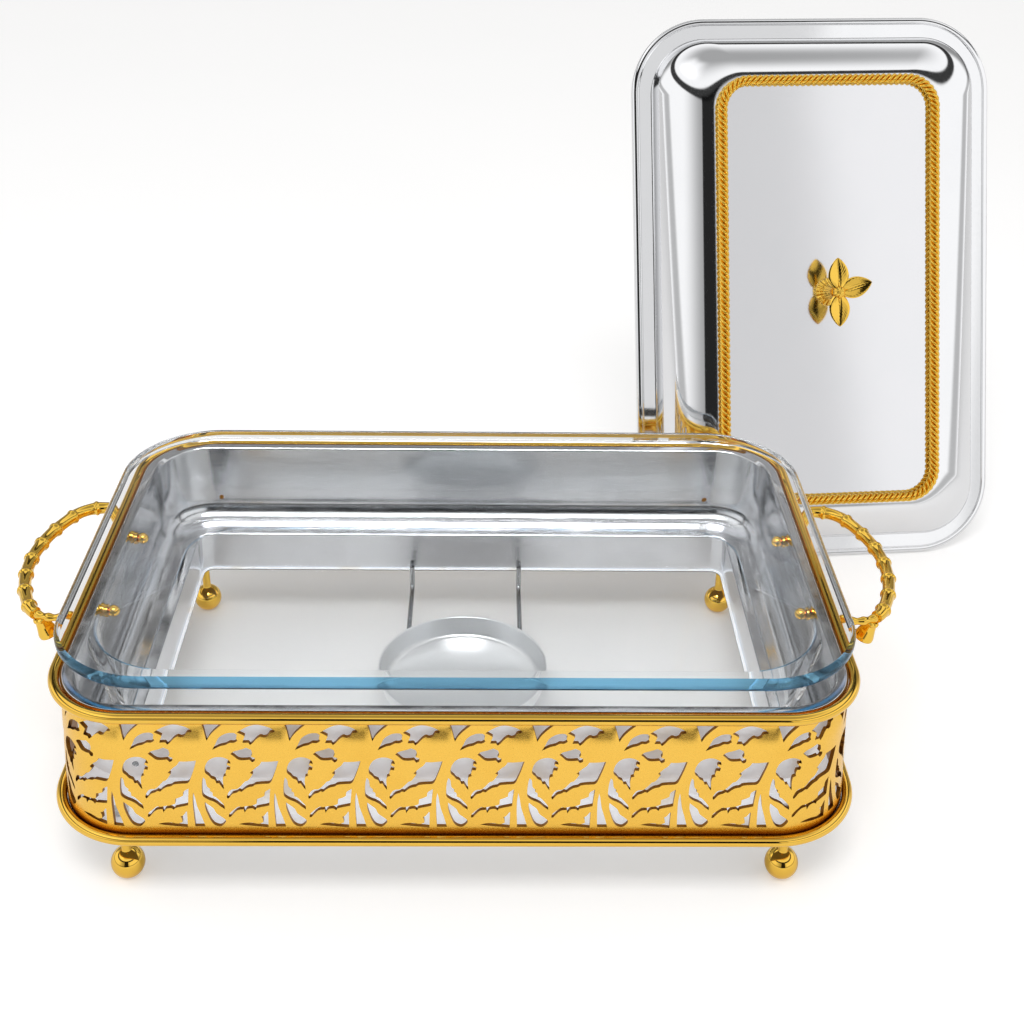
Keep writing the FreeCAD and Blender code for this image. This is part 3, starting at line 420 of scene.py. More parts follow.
def even_points(line, count):
    """Evenly spaced points along a line, each with the way that the line runs there."""
    lengths = run_lengths(line)
    spaced = []
    place = 0
    for number in range(count + 1):
        at = lengths[-1] * number / count
        while place < len(line) - 2 and lengths[place + 1] < at:
            place += 1
        share = (at - lengths[place]) / (lengths[place + 1] - lengths[place])
        ahead = (line[place + 1] - line[place]).normalized()
        spaced.append((line[place].lerp(line[place + 1], share), ahead))
    return spaced


def hoop(centre, one, two, radius, sides):
    """A circle of points about a centre, in the plane of two directions."""
    turns = [math.tau * side / sides for side in range(sides)]
    return [centre + (one * math.cos(turn) + two * math.sin(turn)) * radius for turn in turns]


def tube(path, radius_at, sides):
    """A capped round tube along a path, its radius given along its length."""
    loops = []
    across = None
    for number, (spot, at) in enumerate(zip(path, run_lengths(path))):
        ahead = (path[min(number + 1, len(path) - 1)] - path[max(number - 1, 0)]).normalized()
        if across is None:
            rough = UP if abs(ahead.z) < 0.9 else Vector((1, 0, 0))
            across = rough.cross(ahead).normalized()
        across = (across - ahead * across.dot(ahead)).normalized()
        loops.append(hoop(spot, across, ahead.cross(across), radius_at(at), sides))
    return skin_loops(loops)


def two_faced(rows, columns, spot):
    """A leaf's form. spot(along, across, front) gives a point of its front or its back."""
    points = []
    for front in (True, False):
        for row in range(rows + 1):
            for column in range(columns + 1):
                points.append(spot(row / rows, 2 * column / columns - 1, front))
    faces = []
    width = columns + 1
    size = (rows + 1) * width
    for row in range(rows):
        for column in range(columns):
            one = row * width + column
            two = one + size
            faces.append((one, one + 1, one + 1 + width, one + width))
            faces.append((two, two + width, two + 1 + width, two + 1))
    for first in (0, columns):
        for row in range(rows):
            one = row * width + first
            two = one + width
            faces.append((one, two, two + size, one + size))
    for column in range(columns):
        faces.append((column, column + size, column + 1 + size, column + 1))
        one = rows * width + column
        faces.append((one, one + 1, one + 1 + size, one + size))
    return points, faces


class Heap:
    """Several forms gathered into one."""

    def __init__(self):
        self.form = ([], [])

    def add(self, form, place=None):
        points, faces = self.form
        first = len(points)
        for point in form[0]:
            points.append(place @ Vector(point) if place else Vector(point))
        for face in form[1]:
            faces.append(tuple(first + corner for corner in face))


def aimed(spot, way):
    """A frame at a spot, its z axis along a way."""
    return Matrix.Translation(spot) @ UP.rotation_difference(way).to_matrix().to_4x4()


def outward(spot, side_x, side_y):
    """The level way out of a rounded rectangle with straight sides of twice side_x and side_y."""
    x, y, _ = spot
    return Vector((x - max(-side_x, min(side_x, x)), y - max(-side_y, min(side_y, y)), 0)).normalized()


# The stand's driving dimensions.
RING_X = 200
RING_Y = 138
RING_CORNER = 42
WIRE = 2.75
UPPER_Z = 114.4
LOWER_Z = 43
FLARE = 4.5
INSET = 5.6
SHEET = 0.8
BAND_TOP = UPPER_Z + 1.8
BAND_FOOT = LOWER_Z - 1.8
WALL_X = 188.3
WALL_Y = 126.3
WALL_CORNER = 30.3
RIM_Z = 116
LEDGE_Z = 66
LEDGE = 22.5
SHOULDER = 17
SCREW_Y = 36
SCREW_Z = 105.5
FOOT_X = 168
FOOT_Y = 118

ring_piece(
    "upper_wire", RING_X - WIRE, RING_Y - WIRE, RING_CORNER - WIRE,
    circle_profile(WIRE, UPPER_Z), "upper_wire_ring", [GOLD], "gold", 180,
)
ring_piece(
    "lower_wire", RING_X + FLARE - WIRE, RING_Y + FLARE - WIRE, RING_CORNER + FLARE - WIRE,
    circle_profile(WIRE, LOWER_Z), "lower_wire_ring", [GOLD], "gold", 180,
)

# The liner: rim, wall, shoulder, ledge and lower wall, all of one pressed sheet.
LINER_PROFILE = filleted(
    (
        (5, RIM_Z, 0.2), (0, RIM_Z, 1.2), (0, LEDGE_Z, SHOULDER), (-LEDGE, LEDGE_Z, 1.2),
        (-LEDGE, BAND_FOOT, 0), (-LEDGE + SHEET, BAND_FOOT, 0), (-LEDGE + SHEET, LEDGE_Z - SHEET, 2),
        (SHEET, LEDGE_Z - SHEET, SHOULDER + SHEET), (SHEET, RIM_Z - SHEET, 2), (5, RIM_Z - SHEET, 0.2),
    ),
    steps=12,
    closed=True,
)


def cut_holes(piece, holes):
    """Round holes through a sheet, each given as (middle, way, radius, length)."""
    heap = Heap()
    for middle, way, radius, length in holes:
        drill = turned(((radius, -length / 2), (radius, length / 2)), 24)
        heap.add(drill, aimed(Vector(middle), Vector(way)))
    name = piece.name + "_cutter"
    cutter = bpy.data.objects.new(name, solid_mesh(name, *heap.form))
    SCENE.collection.objects.link(cutter)
    change = piece.modifiers.new("holes", "BOOLEAN")
    change.object = cutter
    change.solver = "EXACT"
    seen = piece.evaluated_get(bpy.context.evaluated_depsgraph_get())
    result = bpy.data.meshes.new_from_object(seen)
    piece.modifiers.clear()
    result.set_sharp_from_angle(angle=math.radians(40))
    piece.data = result
    bpy.data.objects.remove(cutter)


VENT_X = 155
VENT_Z = 80
VENT = 1.7
SCREW_HOLE = 1.6

liner = ring_piece(
    "liner", WALL_X, WALL_Y, WALL_CORNER, LINER_PROFILE, "steel_liner", [STEEL], "mirror_steel"
)
liner_holes = [((0, SCREW_Y * side, SCREW_Z), (1, 0, 0), SCREW_HOLE, 420) for side in (-1, 1)]
liner_holes += [((VENT_X * side, 0, VENT_Z), (0, 1, 0), VENT, 300) for side in (-1, 1)]
cut_holes(liner, liner_holes)
# The liner's outer and lower faces take the pale sheet: painted glow behind the band.
liner.data.materials.append(STEEL_PAINTED_GLOW)
for face in liner.data.polygons:
    way = outward(face.center / MM, WALL_X - WALL_CORNER, WALL_Y - WALL_CORNER)
    if face.normal.dot(way) > 0.25 or face.normal.z < -0.5:
        face.material_index = 1

# The pierced band. One cell of the pattern is an arch on a forked trunk with a leaf sprig in it.
# A hole's corners, in their order round it, are thousandths of the cell's pitch and of the pierced
# height. A hole marked "round" has curved sides all round.
PATTERN_FOOT = 48.5
PATTERN_RISE = 60.5
CELLS = 32
CELL_HOLES = (
    ("round", (-97, 1000), (-35, 920), (0, 844), (37, 890), (100, 940), (200, 1000)),
    ("leaf", (58, 758), (100, 810), (140, 867), (200, 900), (263, 917), (335, 917), (366, 898), (356, 867),
     (370, 844), (325, 825), (274, 825), (222, 805), (160, 794), (100, 773)),
    ("leaf", (370, 922), (428, 945), (510, 966), (593, 969), (675, 956), (757, 937), (819, 914), (809, 903),
     (757, 898), (726, 872), (685, 864), (644, 872), (593, 852), (556, 825), (520, 805), (500, 825),
     (428, 825), (438, 844), (459, 883), (428, 898)),
    ("leaf", (274, 719), (315, 742), (407, 761), (469, 778), (527, 758), (537, 719), (520, 695), (568, 680),
     (562, 653), (530, 640), (500, 664), (428, 659), (366, 664), (315, 695)),
    ("leaf", (-56, 562), (-35, 617), (16, 664), (99, 687), (181, 684), (253, 656), (267, 625), (232, 633),
     (218, 617), (263, 594), (253, 566), (212, 570), (200, 547), (198, 523), (208, 512), (165, 500),
     (156, 453), (165, 375), (140, 398), (109, 437), (78, 434), (58, 469), (16, 484), (-14, 512),
     (-45, 531)),
    ("leaf", (644, 644), (726, 644), (850, 653), (809, 562), (767, 484), (747, 453), (716, 434), (634, 430),
     (551, 422), (520, 406), (469, 398), (428, 383), (376, 352), (346, 359), (315, 344), (263, 331),
     (222, 297), (200, 284), (191, 305), (222, 352), (263, 375), (315, 378), (356, 398), (407, 437),
     (428, 453), (459, 461), (490, 484), (528, 525), (494, 536), (568, 586), (613, 610)),
    ("leaf", (-82, 492), (-56, 469), (-45, 406), (-4, 378), (-14, 359), (16, 344), (20, 310), (58, 297),
     (109, 258), (150, 219), (156, 180), (130, 195), (99, 211), (68, 234), (16, 258), (-35, 273),
     (-86, 297), (-107, 320), (-107, 390), (-97, 453)),
    ("round", (-86, 250), (-86, 200), (-66, 140), (-25, 62), (16, 23), (78, 8), (119, 23), (156, 55),
     (150, 78), (99, 109), (47, 140), (16, 187), (-35, 219)),
    ("leaf", (730, 383), (716, 297), (706, 219), (665, 211), (593, 200), (541, 190), (530, 172), (490, 190),
     (428, 180), (397, 145), (387, 180), (315, 172), (263, 140), (222, 106), (198, 102), (200, 122),
     (222, 148), (274, 180), (325, 206), (366, 203), (428, 211), (500, 219), (551, 234), (556, 281),
     (613, 297), (654, 312), (665, 352)),
    ("leaf", (315, 31), (390, 45), (480, 47), (560, 36), (620, 50), (615, 86), (600, 106), (634, 117),
     (675, 156), (685, 156), (680, 0), (590, 8), (470, 16), (390, 23)),
    ("round", (782, 344), (767, 266), (767, 140), (774, 8), (900, 8), (860, 109), (819, 203), (798, 297)),
)


def curved(corners, pieces, sharp_turn=62):
    """A closed outline through the corners, curved where it turns gently and cut sharp elsewhere."""
    count = len(corners)
    spots = [Vector(corner) for corner in corners]
    soft = []
    for number, spot in enumerate(spots):
        back = spot - spots[number - 1]
        on = spots[(number + 1) % count] - spot
        soft.append(math.degrees(back.angle(on)) < sharp_turn)
    line = []
    for number, spot in enumerate(spots):
        after = (number + 1) % count
        end = spots[after]
        start_way = (end - spots[number - 1]) / 2 if soft[number] else end - spot
        end_way = (spots[(number + 2) % count] - spot) / 2 if soft[after] else end - spot
        reach = (end - spot).length
        start_way = start_way.normalized() * min(start_way.length, reach)
        end_way = end_way.normalized() * min(end_way.length, reach)
        for step in range(pieces):
            t = step / pieces
            cube = t * t * t
            square = t * t
            point = spot * (2 * cube - 3 * square + 1) + start_way * (cube - 2 * square + t)
            line.append(point + end * (3 * square - 2 * cube) + end_way * (cube - square))
    return line


def inside(outline, point):
    """Whether a flat point lies inside a closed outline."""
    within = False
    for one, two in zip(outline, outline[1:] + outline[:1]):
        if (one.y > point.y) != (two.y > point.y):
            if point.x < one.x + (point.y - one.y) / (two.y - one.y) * (two.x - one.x):
                within = not within
    return within


def band_spread(height):
    """How far the band's outer face stands out at a height, past its place at the upper wire."""
    return (UPPER_Z - height) * FLARE / (UPPER_Z - LOWER_Z)


def ease(value):
    """A smooth step from 0 to 1."""
    value = max(0, min(1, value))
    return value * value * (3 - 2 * value)


ARCH_DIP = 3
DIP_TOP = 110


def arch_relief(along, height):
    """How far the sheet dips where each arch's shoulder turns back under the wire."""
    spot = along / PITCH % 1
    level = (height - PATTERN_FOOT) / PATTERN_RISE
    shoulder = ease((spot - 0.3) / 0.45) * (1 - ease((spot - 0.95) / 0.05))
    return -ARCH_DIP * shoulder * ease((level - 0.78) / 0.22) * (1 - ease((height - DIP_TOP) / 4))


MIDDLE_OUT = band_spread(PATTERN_FOOT + PATTERN_RISE / 2) - INSET
SIDE_X = RING_X - RING_CORNER
SIDE_Y = RING_Y - RING_CORNER
BAND_CORNER = RING_CORNER + MIDDLE_OUT
QUARTER = math.pi / 2 * BAND_CORNER
BAND_LENGTH = 4 * (SIDE_X + SIDE_Y + QUARTER)
PITCH = BAND_LENGTH / CELLS


def band_place(distance, out):
    """A point of the band's outline, counter-clockwise from the middle of the front."""
    distance = (distance + SIDE_X) % BAND_LENGTH
    for turn, side in enumerate((SIDE_X, SIDE_Y, SIDE_X, SIDE_Y)):
        if distance <= 2 * side:
            shift = distance - side
            bend = turn * math.pi / 2
            break
        distance -= 2 * side
        if distance <= QUARTER:
            shift = side
            bend = turn * math.pi / 2 + distance / BAND_CORNER
            break
        distance -= QUARTER
    way = Vector((math.cos(turn * math.pi / 2), math.sin(turn * math.pi / 2)))
    off = Vector((way.y, -way.x))
    across = (SIDE_Y, SIDE_X, SIDE_Y, SIDE_X)[turn]
    centre = way * shift + off * across
    normal = Vector((math.sin(bend), -math.cos(bend)))
    return centre + normal * (RING_CORNER + out)


def cell_mesh(holes):
    """A flat cell of the band, cut by its holes, as points of (along, height) and triangles."""
    spots = []
    edges = []

    def add_line(line):
        first = len(spots)
        spots.extend(line)
        for number in range(len(line)):
            edges.append((first + number, first + (number + 1) % len(line)))

    columns = 18
    rows = 34
    corners = ((0, BAND_FOOT), (PITCH, BAND_FOOT), (PITCH, BAND_TOP), (0, BAND_TOP))
    add_line([Vector(corner) for corner in corners])
    for column in range(columns + 1):
        for row in range(rows + 1):
            along = PITCH * column / columns
            height = BAND_FOOT + (BAND_TOP - BAND_FOOT) * row / rows
            spots.append(Vector((along, height)))
    shifted = []
    for shift in (-1, 0, 1):
        for hole in holes:
            shifted.append([Vector((spot.x + shift * PITCH, spot.y)) for spot in hole])
            add_line(shifted[-1])
    found, _, faces, *_ = delaunay_2d_cdt(spots, edges, [], 0, 0.0001, True)
    kept = []
    for face in faces:
        middle = sum((found[corner] for corner in face), Vector((0, 0))) / len(face)
        within = 0 < middle.x < PITCH and BAND_FOOT < middle.y < BAND_TOP
        if within and not any(inside(hole, middle) for hole in shifted):
            kept.append(face)
    return found, kept


def pattern_hole(style, corners):
    """One hole of the pattern as a line of (along, height)."""
    spots = [(along / 1000 * PITCH, PATTERN_FOOT + up / 1000 * PATTERN_RISE) for along, up in corners]
    return curved(spots, 4) if style == "round" else curved(spots, 3, 50)


# The cut edges' depth, and the height from which they thin to the sheet's own.
CUT_DEPTH = 2
CUT_TOP = 107


def add_band():
    """The band's sheet, with its inner face and cut edges."""
    holes = [pattern_hole(style, corners) for style, *corners in CELL_HOLES]
    found, faces = cell_mesh(holes)
    work = bmesh.new()
    for cell in range(CELLS):
        start = cell * PITCH
        made = {}
        for face in faces:
            corners = []
            for corner in face:
                if corner not in made:
                    along, height = found[corner]
                    out = band_spread(height) - INSET + arch_relief(along, height)
                    spot = band_place(start + along, out)
                    made[corner] = work.verts.new((spot.x * MM, spot.y * MM, height * MM))
                corners.append(made[corner])
            work.faces.new(corners)
    bmesh.ops.remove_doubles(work, verts=work.verts, dist=2e-5)
    bmesh.ops.recalc_face_normals(work, faces=work.faces)
    outer = list(work.faces)
    rims = [edge for edge in work.edges if len(edge.link_faces) == 1]
    back = {}
    for vert in list(work.verts):
        spot = vert.co / MM
        thick = CUT_DEPTH + (SHEET - CUT_DEPTH) * ease((spot.z - CUT_TOP) / 4)
        back[vert] = work.verts.new(vert.co - outward(spot, SIDE_X, SIDE_Y) * thick * MM)
    # The inner face and the cut edges take the dark gold, which is painted shade.
    for face in outer:
        work.faces.new([back[vert] for vert in reversed(face.verts)]).material_index = 1
    for edge in rims:
        one, two = edge.verts
        work.faces.new((one, two, back[two], back[one])).material_index = 1
    bmesh.ops.recalc_face_normals(work, faces=work.faces)
    mesh = bpy.data.meshes.new("band")
    work.to_mesh(mesh)
    work.free()
    dress("band", mesh, "stand", "pierced_band", [GOLD_BAND, GOLD_PAINTED_SHADE], 35)


add_band()

# The turned ball feet.
BALL = 8.65
BALL_FLAT = 0.3
BALL_Z = BALL - BALL_FLAT
BALL_TOP = 72


def add_foot(name, side_x, side_y):
    """A ball with a stem that spreads into a small collar under the base frame."""
    profile = []
    lowest = -math.degrees(math.asin(BALL_Z / BALL))
    for step in range(37):
        angle = math.radians(lowest + (BALL_TOP - lowest) * step / 36)
        profile.append((BALL * math.cos(angle), BALL_Z + BALL * math.sin(angle)))
    profile += filleted(
        ((2.5, profile[-1][1] + 0.6, 0), (2.4, 30, 0), (2.4, 38, 1.5), (4.2, 39.7, 0.5), (4.2, 40, 0))
    )
    place = Matrix.Translation((FOOT_X * side_x, FOOT_Y * side_y, 0))
    add_piece(name + "_ball", turned(profile, 64), "stand", name, [GOLD], "gold", place=place)


add_foot("ball_foot_front_left", -1, -1)
add_foot("ball_foot_front_right", 1, -1)
add_foot("ball_foot_rear_left", -1, 1)
add_foot("ball_foot_rear_right", 1, 1)

# The ball nuts inside the liner's end walls, with their flat side on the washers.
NUT = 3.2
WASHER = 0.8
NUT_MIDDLE = WALL_X - WASHER - NUT * math.cos(math.radians(30))


def add_ball_nuts():
    """Four ball nuts, each cut flat where it meets its washer."""
    profile = [(0.05, -NUT)]
    for step in range(1, 25):
        angle = math.radians(-90 + 150 * step / 24)
        profile.append((NUT * math.cos(angle), NUT * math.sin(angle)))
    heap = Heap()
    for side_x in (-1, 1):
        turn = Euler((0, math.radians(90 * side_x), 0)).to_matrix().to_4x4()
        for side_y in (-1, 1):
            place = Matrix.Translation((NUT_MIDDLE * side_x, SCREW_Y * side_y, SCREW_Z))
            heap.add(turned(profile, 40), place @ turn)
    add_piece("ball_nuts", heap.form, "stand", "handle_ball_nuts", [GOLD], "gold")


add_ball_nuts()

# The burner: two bent wires and a shallow pan.
BURNER_X = 1.5
BAR = 1.5
BAR_X = 34
BAR_Z = 28.5
HOOK_Z = 44
HOOK_GAP = 1.6
HOOK_Y = WALL_Y - LEDGE - HOOK_GAP - BAR
PAN_Z = 30.2


def add_burner():
    """The two wires and the pan."""
    flat = filleted(
        ((-HOOK_Y, HOOK_Z, 0), (-HOOK_Y, BAR_Z, 5), (HOOK_Y, BAR_Z, 5), (HOOK_Y, HOOK_Z, 0)), 10
    )
    for name, side in (("burner_wire_left", -1), ("burner_wire_right", 1)):
        path = [Vector((BURNER_X + BAR_X * side, y, z)) for y, z in flat]
        bar = tube(path, lambda at: BAR, 20)
        add_piece(name + "_bar", bar, "stand", name, [STEEL_WIRE], "burner_steel")
    profile = filleted(
        (
            (0.05, PAN_Z, 0), (46, PAN_Z, 3.7), (48, 42.5, 0.3), (48.7, 42.5, 0.2), (48.7, 43.2, 0.3),
            (47.3, 43.2, 0.8), (46 - 0.7, PAN_Z + 0.7, 3), (0.05, PAN_Z + 0.7, 0),
        )
    )
    place = Matrix.Translation((BURNER_X, 0, 0))
    add_piece("pan", turned(profile, 96), "burner", "burner_pan", [STEEL_PAN], "satin_steel", place=place)


add_burner()

# The glass dish. Offsets are from the mouth: the wall's follow it all round, the flange is wider at
# the ends, and its outer edge runs level with itself.
MOUTH_X = 179.5
MOUTH_Y = 117.5
MOUTH_CORNER = 41
WALL = 4.5
FLANGE_CORNER = 52
END_FLANGE = 21.5
SIDE_FLANGE = 8.5
SPREAD = 13.5
BLUE_EDGE_TO = -72
BLUE_LIP_TO = -60
FLOOR_Z = LEDGE_Z + 6
SEAT = 0.2


def dish_loop(out, height):
    """A loop of the dish at an offset from the mouth."""
    inner = min(out, WALL)
    middle = max(0, min(out - WALL, SPREAD)) / SPREAD
    outer = max(0, out - WALL - SPREAD)
    half_y = MOUTH_Y + inner + middle * 0.5 + outer
    radius = MOUTH_CORNER + inner + middle * 3 + outer
    return rounded_loop(MOUTH_X + out, half_y, radius, height)


def add_dish():
    """The dish as one closed skin, from the middle of its foot to the middle of its floor."""
    profile = filleted(
        (
            (-30, LEDGE_Z + SEAT, 0), (-9, LEDGE_Z + SEAT, 0), (-7, LEDGE_Z + SEAT, 4.5),
            (WALL, DISH_TOP - FLANGE, 1.5), (END_FLANGE, DISH_TOP - FLANGE, 2.8),
            (END_FLANGE, DISH_TOP, 2.8), (0, DISH_TOP, 1.6), (-11.7, FLOOR_Z, 8), (-30, FLOOR_Z, 0),
        ),
        10,
    )
    form = skin_loops([dish_loop(*spot) for spot in profile])
    glasses = [GLASS, GLASS_EDGE, GLASS_BASE, GLASS_FOOT, GLASS_RIM]
    edge, base, foot, rim = range(1, 5)
    dish = add_piece("dish", form, "dish", "glass_dish", glasses, "clear_glass", 180)
    flange_x = MOUTH_X + END_FLANGE - FLANGE_CORNER
    flange_y = MOUTH_Y + SIDE_FLANGE - FLANGE_CORNER
    for face in dish.data.polygons:
        x, y, z = face.center / MM
        reach = Vector((max(0, abs(x) - flange_x), max(0, abs(y) - flange_y))).length
        mouth_x = max(0, abs(x) - MOUTH_X + MOUTH_CORNER)
        mouth_y = max(0, abs(y) - MOUTH_Y + MOUTH_CORNER)
        lip = Vector((mouth_x, mouth_y)).length - MOUTH_CORNER
        if z > DISH_TOP - FLANGE - 0.3 and reach > FLANGE_CORNER - 2.4:
            face.material_index = edge if y < BLUE_EDGE_TO else rim
        elif z > DISH_TOP - 7 and lip < 1.6 and y < BLUE_LIP_TO and mouth_x > 8:
            face.material_index = edge
        elif z < FLOOR_Z + 1 and abs(face.normal.z) > 0.9:
            face.material_index = base
        elif z < LEDGE_Z + 5.5:
            face.material_index = foot


add_dish()

# The lid's own frame: it lies face up there, and the matrix stands it on its end, leaning back.
LID_X = 125
LID_Y = 186
LID_CORNER = 50
LID_LEAN = math.radians(22)
LID_TURN = math.radians(5)
UP_RUN = LID_Y * math.sin(LID_LEAN)
LID_FOOT_X = 246
LID_FOOT_Y = 186
LID_MIDDLE_X = LID_FOOT_X - UP_RUN * math.sin(LID_TURN)
LID_MIDDLE_Y = LID_FOOT_Y + UP_RUN * math.cos(LID_TURN)
LID_MIDDLE = Matrix.Translation((LID_MIDDLE_X, LID_MIDDLE_Y, LID_Y * math.cos(LID_LEAN)))
LID_UPRIGHT = Matrix.Rotation(math.pi / 2 - LID_LEAN, 4, "X")
LID_FRAME = LID_MIDDLE @ Matrix.Rotation(LID_TURN, 4, "Z") @ LID_UPRIGHT
CROWN = 38
RIM_TOP = 5
RIM_STEP = 14
LID_SHEET = 0.9
PANEL_X = 75.5
PANEL_Y = 143.5
PANEL_CORNER = 22


def lid_loop(inward, height, depth=0):
    """A loop of the lid, at a share of the way in from the dome's foot to the panel."""
    foot_x = LID_X - RIM_STEP
    foot_y = LID_Y - RIM_STEP
    foot_corner = LID_CORNER - RIM_STEP
    half_x = foot_x - (foot_x - PANEL_X) * inward - depth
    half_y = foot_y - (foot_y - PANEL_Y) * inward - depth
    corner = foot_corner - (foot_corner - PANEL_CORNER) * inward - depth
    return rounded_loop(half_x, half_y, corner, height)


def rim_loop(out, height):
    """A loop of the lid's rim, at an offset from its outer edge."""
    return rounded_loop(LID_X + out, LID_Y + out, LID_CORNER + out, height)


def add_lid():
    """The lid's shell: satin panel, mirror dome, rolled rim and hollow."""
    dome = []
    steps = 28
    for step in range(steps + 1):
        angle = math.pi / 2 * step / steps
        dome.append((1 - math.cos(angle), RIM_TOP + (CROWN - RIM_TOP) * math.sin(angle)))
    loops = [lid_loop(1.6, CROWN), lid_loop(1.05, CROWN)]
    loops += [lid_loop(inward, height) for inward, height in reversed(dome)]
    rim = filleted(
        (
            (-RIM_STEP + 0.1, RIM_TOP, 0), (-RIM_STEP + 0.6, RIM_TOP - 0.8, 0.3), (-4.6, RIM_TOP - 0.1, 0.5),
            (-4, RIM_TOP - 0.6, 0.3), (-3.4, RIM_TOP, 0.5),
            (0, RIM_TOP, 2.4), (0, 0, 1), (-LID_SHEET, 0, 0),
            (-LID_SHEET, RIM_TOP - LID_SHEET, 1.4), (-RIM_STEP - LID_SHEET - 0.3, RIM_TOP - LID_SHEET, 0),
        )
    )
    loops += [rim_loop(*spot) for spot in rim]
    loops += [lid_loop(inward, height - LID_SHEET, LID_SHEET) for inward, height in dome[1:]]
    loops += [lid_loop(inward, CROWN - LID_SHEET, LID_SHEET) for inward in (1.05, 1.6)]
    form = skin_loops(loops)
    steels = [STEEL_LID, STEEL_SATIN]
    shell = add_piece("lid", form, "lid", "lid_shell", steels, "mirror_steel", place=LID_FRAME)
    back = LID_FRAME.inverted()
    for face in shell.data.polygons:
        middle = back @ (face.center / MM)
        if middle.z > CROWN - 0.05 and abs(middle.x) < PANEL_X and abs(middle.y) < PANEL_Y:
            face.material_index = 1


add_lid()

# The rope moulding: strands twisted about a line round the panel's edge.
ROPE = 3.5
ROPE_TWIST = 15.2
STRANDS = 4
STRAND = 1.5


def add_rope():
    """The rope round the lid's panel, four strands twisted together."""
    loop = rounded_loop(PANEL_X - ROPE, PANEL_Y - ROPE, PANEL_CORNER - ROPE, CROWN + ROPE + 0.1, 40)
    spots = [Vector(point) for point in loop + loop[:1]]
    turns = round(run_lengths(spots)[-1] / ROPE_TWIST)
    count = 1500
    line = even_points(spots, count)[:-1]
    heap = Heap()
    for start in range(STRANDS):
        loops = []
        for number, (spot, ahead) in enumerate(line):
            turn = math.tau * (turns * number / count + start / STRANDS)
            across = Vector((ahead.y, -ahead.x, 0))
            out = across * math.cos(turn) + UP * math.sin(turn)
            side = across * -math.sin(turn) + UP * math.cos(turn)
            loops.append(hoop(spot + out * (ROPE - STRAND), out, side, STRAND, 12))
        heap.add(skin_loops(loops, around=True))
    add_piece("rope_trim", heap.form, "lid", "lid_rope_trim", [GOLD_CAST], "gold", 180, LID_FRAME)


add_rope()

# The knob: a fluted foot on the panel, and a flower of three creased petals with a bud.
KNOB_TOP = CROWN + 20
PETAL = 22.5
PETAL_WIDE = 6.9
PETAL_TURNS = (3, -74, 180)


def add_knob():
    """The knob's stem and flower."""
    flat = filleted(
        (
            (0.05, CROWN, 0), (9.5, CROWN, 0.2), (9.5, CROWN + 1.6, 0.7), (5.6, CROWN + 5, 8),
            (3.3, CROWN + 13, 6), (3.6, KNOB_TOP - 1.5, 2), (4.4, KNOB_TOP, 0),
        )
    )
    profile = []
    for radius, height in flat:
        share = 1 if CROWN + 0.6 < height < CROWN + 15 else 0
        profile.append((radius, height, share * min(1, radius / 8)))
    stem = turned(profile, 120, 20, 0.9)
    add_piece("knob_foot", stem, "lid", "knob_stem", [GOLD_CAST], "gold", 60, LID_FRAME)
    flower = Heap()
    for angle in PETAL_TURNS:
        flower.add(two_faced(36, 20, petal_spot), Matrix.Rotation(math.radians(angle), 4, "Z"))
    bud = [(0.05, KNOB_TOP - 1)]
    for step in range(1, 17):
        turn = math.radians(-60 + 148 * step / 16)
        bud.append((4.3 * math.cos(turn), KNOB_TOP + 2.2 + 2.8 * math.sin(turn), 1))
    flower.add(turned(bud, 60, 6, 0.5))
    add_piece("knob_petals", flower.form, "lid", "knob_flower", [GOLD_CAST], "gold", 60, LID_FRAME)


def petal_spot(along, across, front):
    """A point of a petal that points along +Y: pointed, cupped, creased down the middle and veined."""
    half = PETAL_WIDE * math.sin(math.pi * (0.1 + 0.9 * along) ** 0.95) ** 0.72 + 0.05
    cup = 1.1 * across * across * (0.3 + 0.7 * math.sin(math.pi * along))
    crease = -0.9 * math.exp(-((across / 0.1) ** 2)) * (1 - along)
    vein = 0.1 * math.sin(58 * (along - 0.45 * abs(across)))
    vein *= min(1, 3 * (1 - abs(across))) * min(1, 4 * (1 - along))
    curl = 1.8 * along * along
    thick = 1.5 * max(0, 1 - across * across) ** 0.5 * (1 - 0.5 * along)
    top = KNOB_TOP + 1.4 + cup + curl + (crease + vein + thick if front else -thick)
    return half * across, 2 + (PETAL - 2) * along, top


add_knob()

# The bamboo handles. A loop's line starts at the band, rises into the end bend, follows the bow and
# comes back the same way. Its knots are thicker rings, and its front end begins as a thin twig.
HANDLE_FACE = RING_X + band_spread(SCREW_Z) - 2 * WIRE
LEVEL = 114.5
BOW = 95
BOW_X = 41 - BOW
TURN_IN = 18
BEND_Y = 55 - TURN_IN
BEND_X = BOW_X + math.sqrt((BOW - TURN_IN) ** 2 - BEND_Y**2)
SWING = math.degrees(math.atan2(BEND_Y, BEND_X - BOW_X))
ROD = 3.4
KNOT_STEP = 9.35
TWIG = 29


def handle_line():
    """The loop's line, from its front end to its rear end."""
    half = []
    for step in range(33):
        angle = math.radians(SWING * step / 32)
        half.append(Vector((BOW_X + BOW * math.cos(angle), BOW * math.sin(angle), LEVEL)))
    for step in range(1, 25):
        angle = math.radians(SWING + (100 - SWING) * step / 24)
        x = BEND_X + TURN_IN * math.cos(angle)
        y = BEND_Y + TURN_IN * math.sin(angle)
        half.append(Vector((x, y, LEVEL)))
    tip = half[-1]
    root = Vector((3.2, 46, SCREW_Z + 1.5))
    for step in range(1, 9):
        share = step / 8
        spot = tip.lerp(root, share)
        spot.z += 1.2 * math.sin(math.pi * share)
        half.append(spot)
    mirrored = [Vector((spot.x, -spot.y, spot.z)) for spot in reversed(half[1:])]
    return mirrored + half


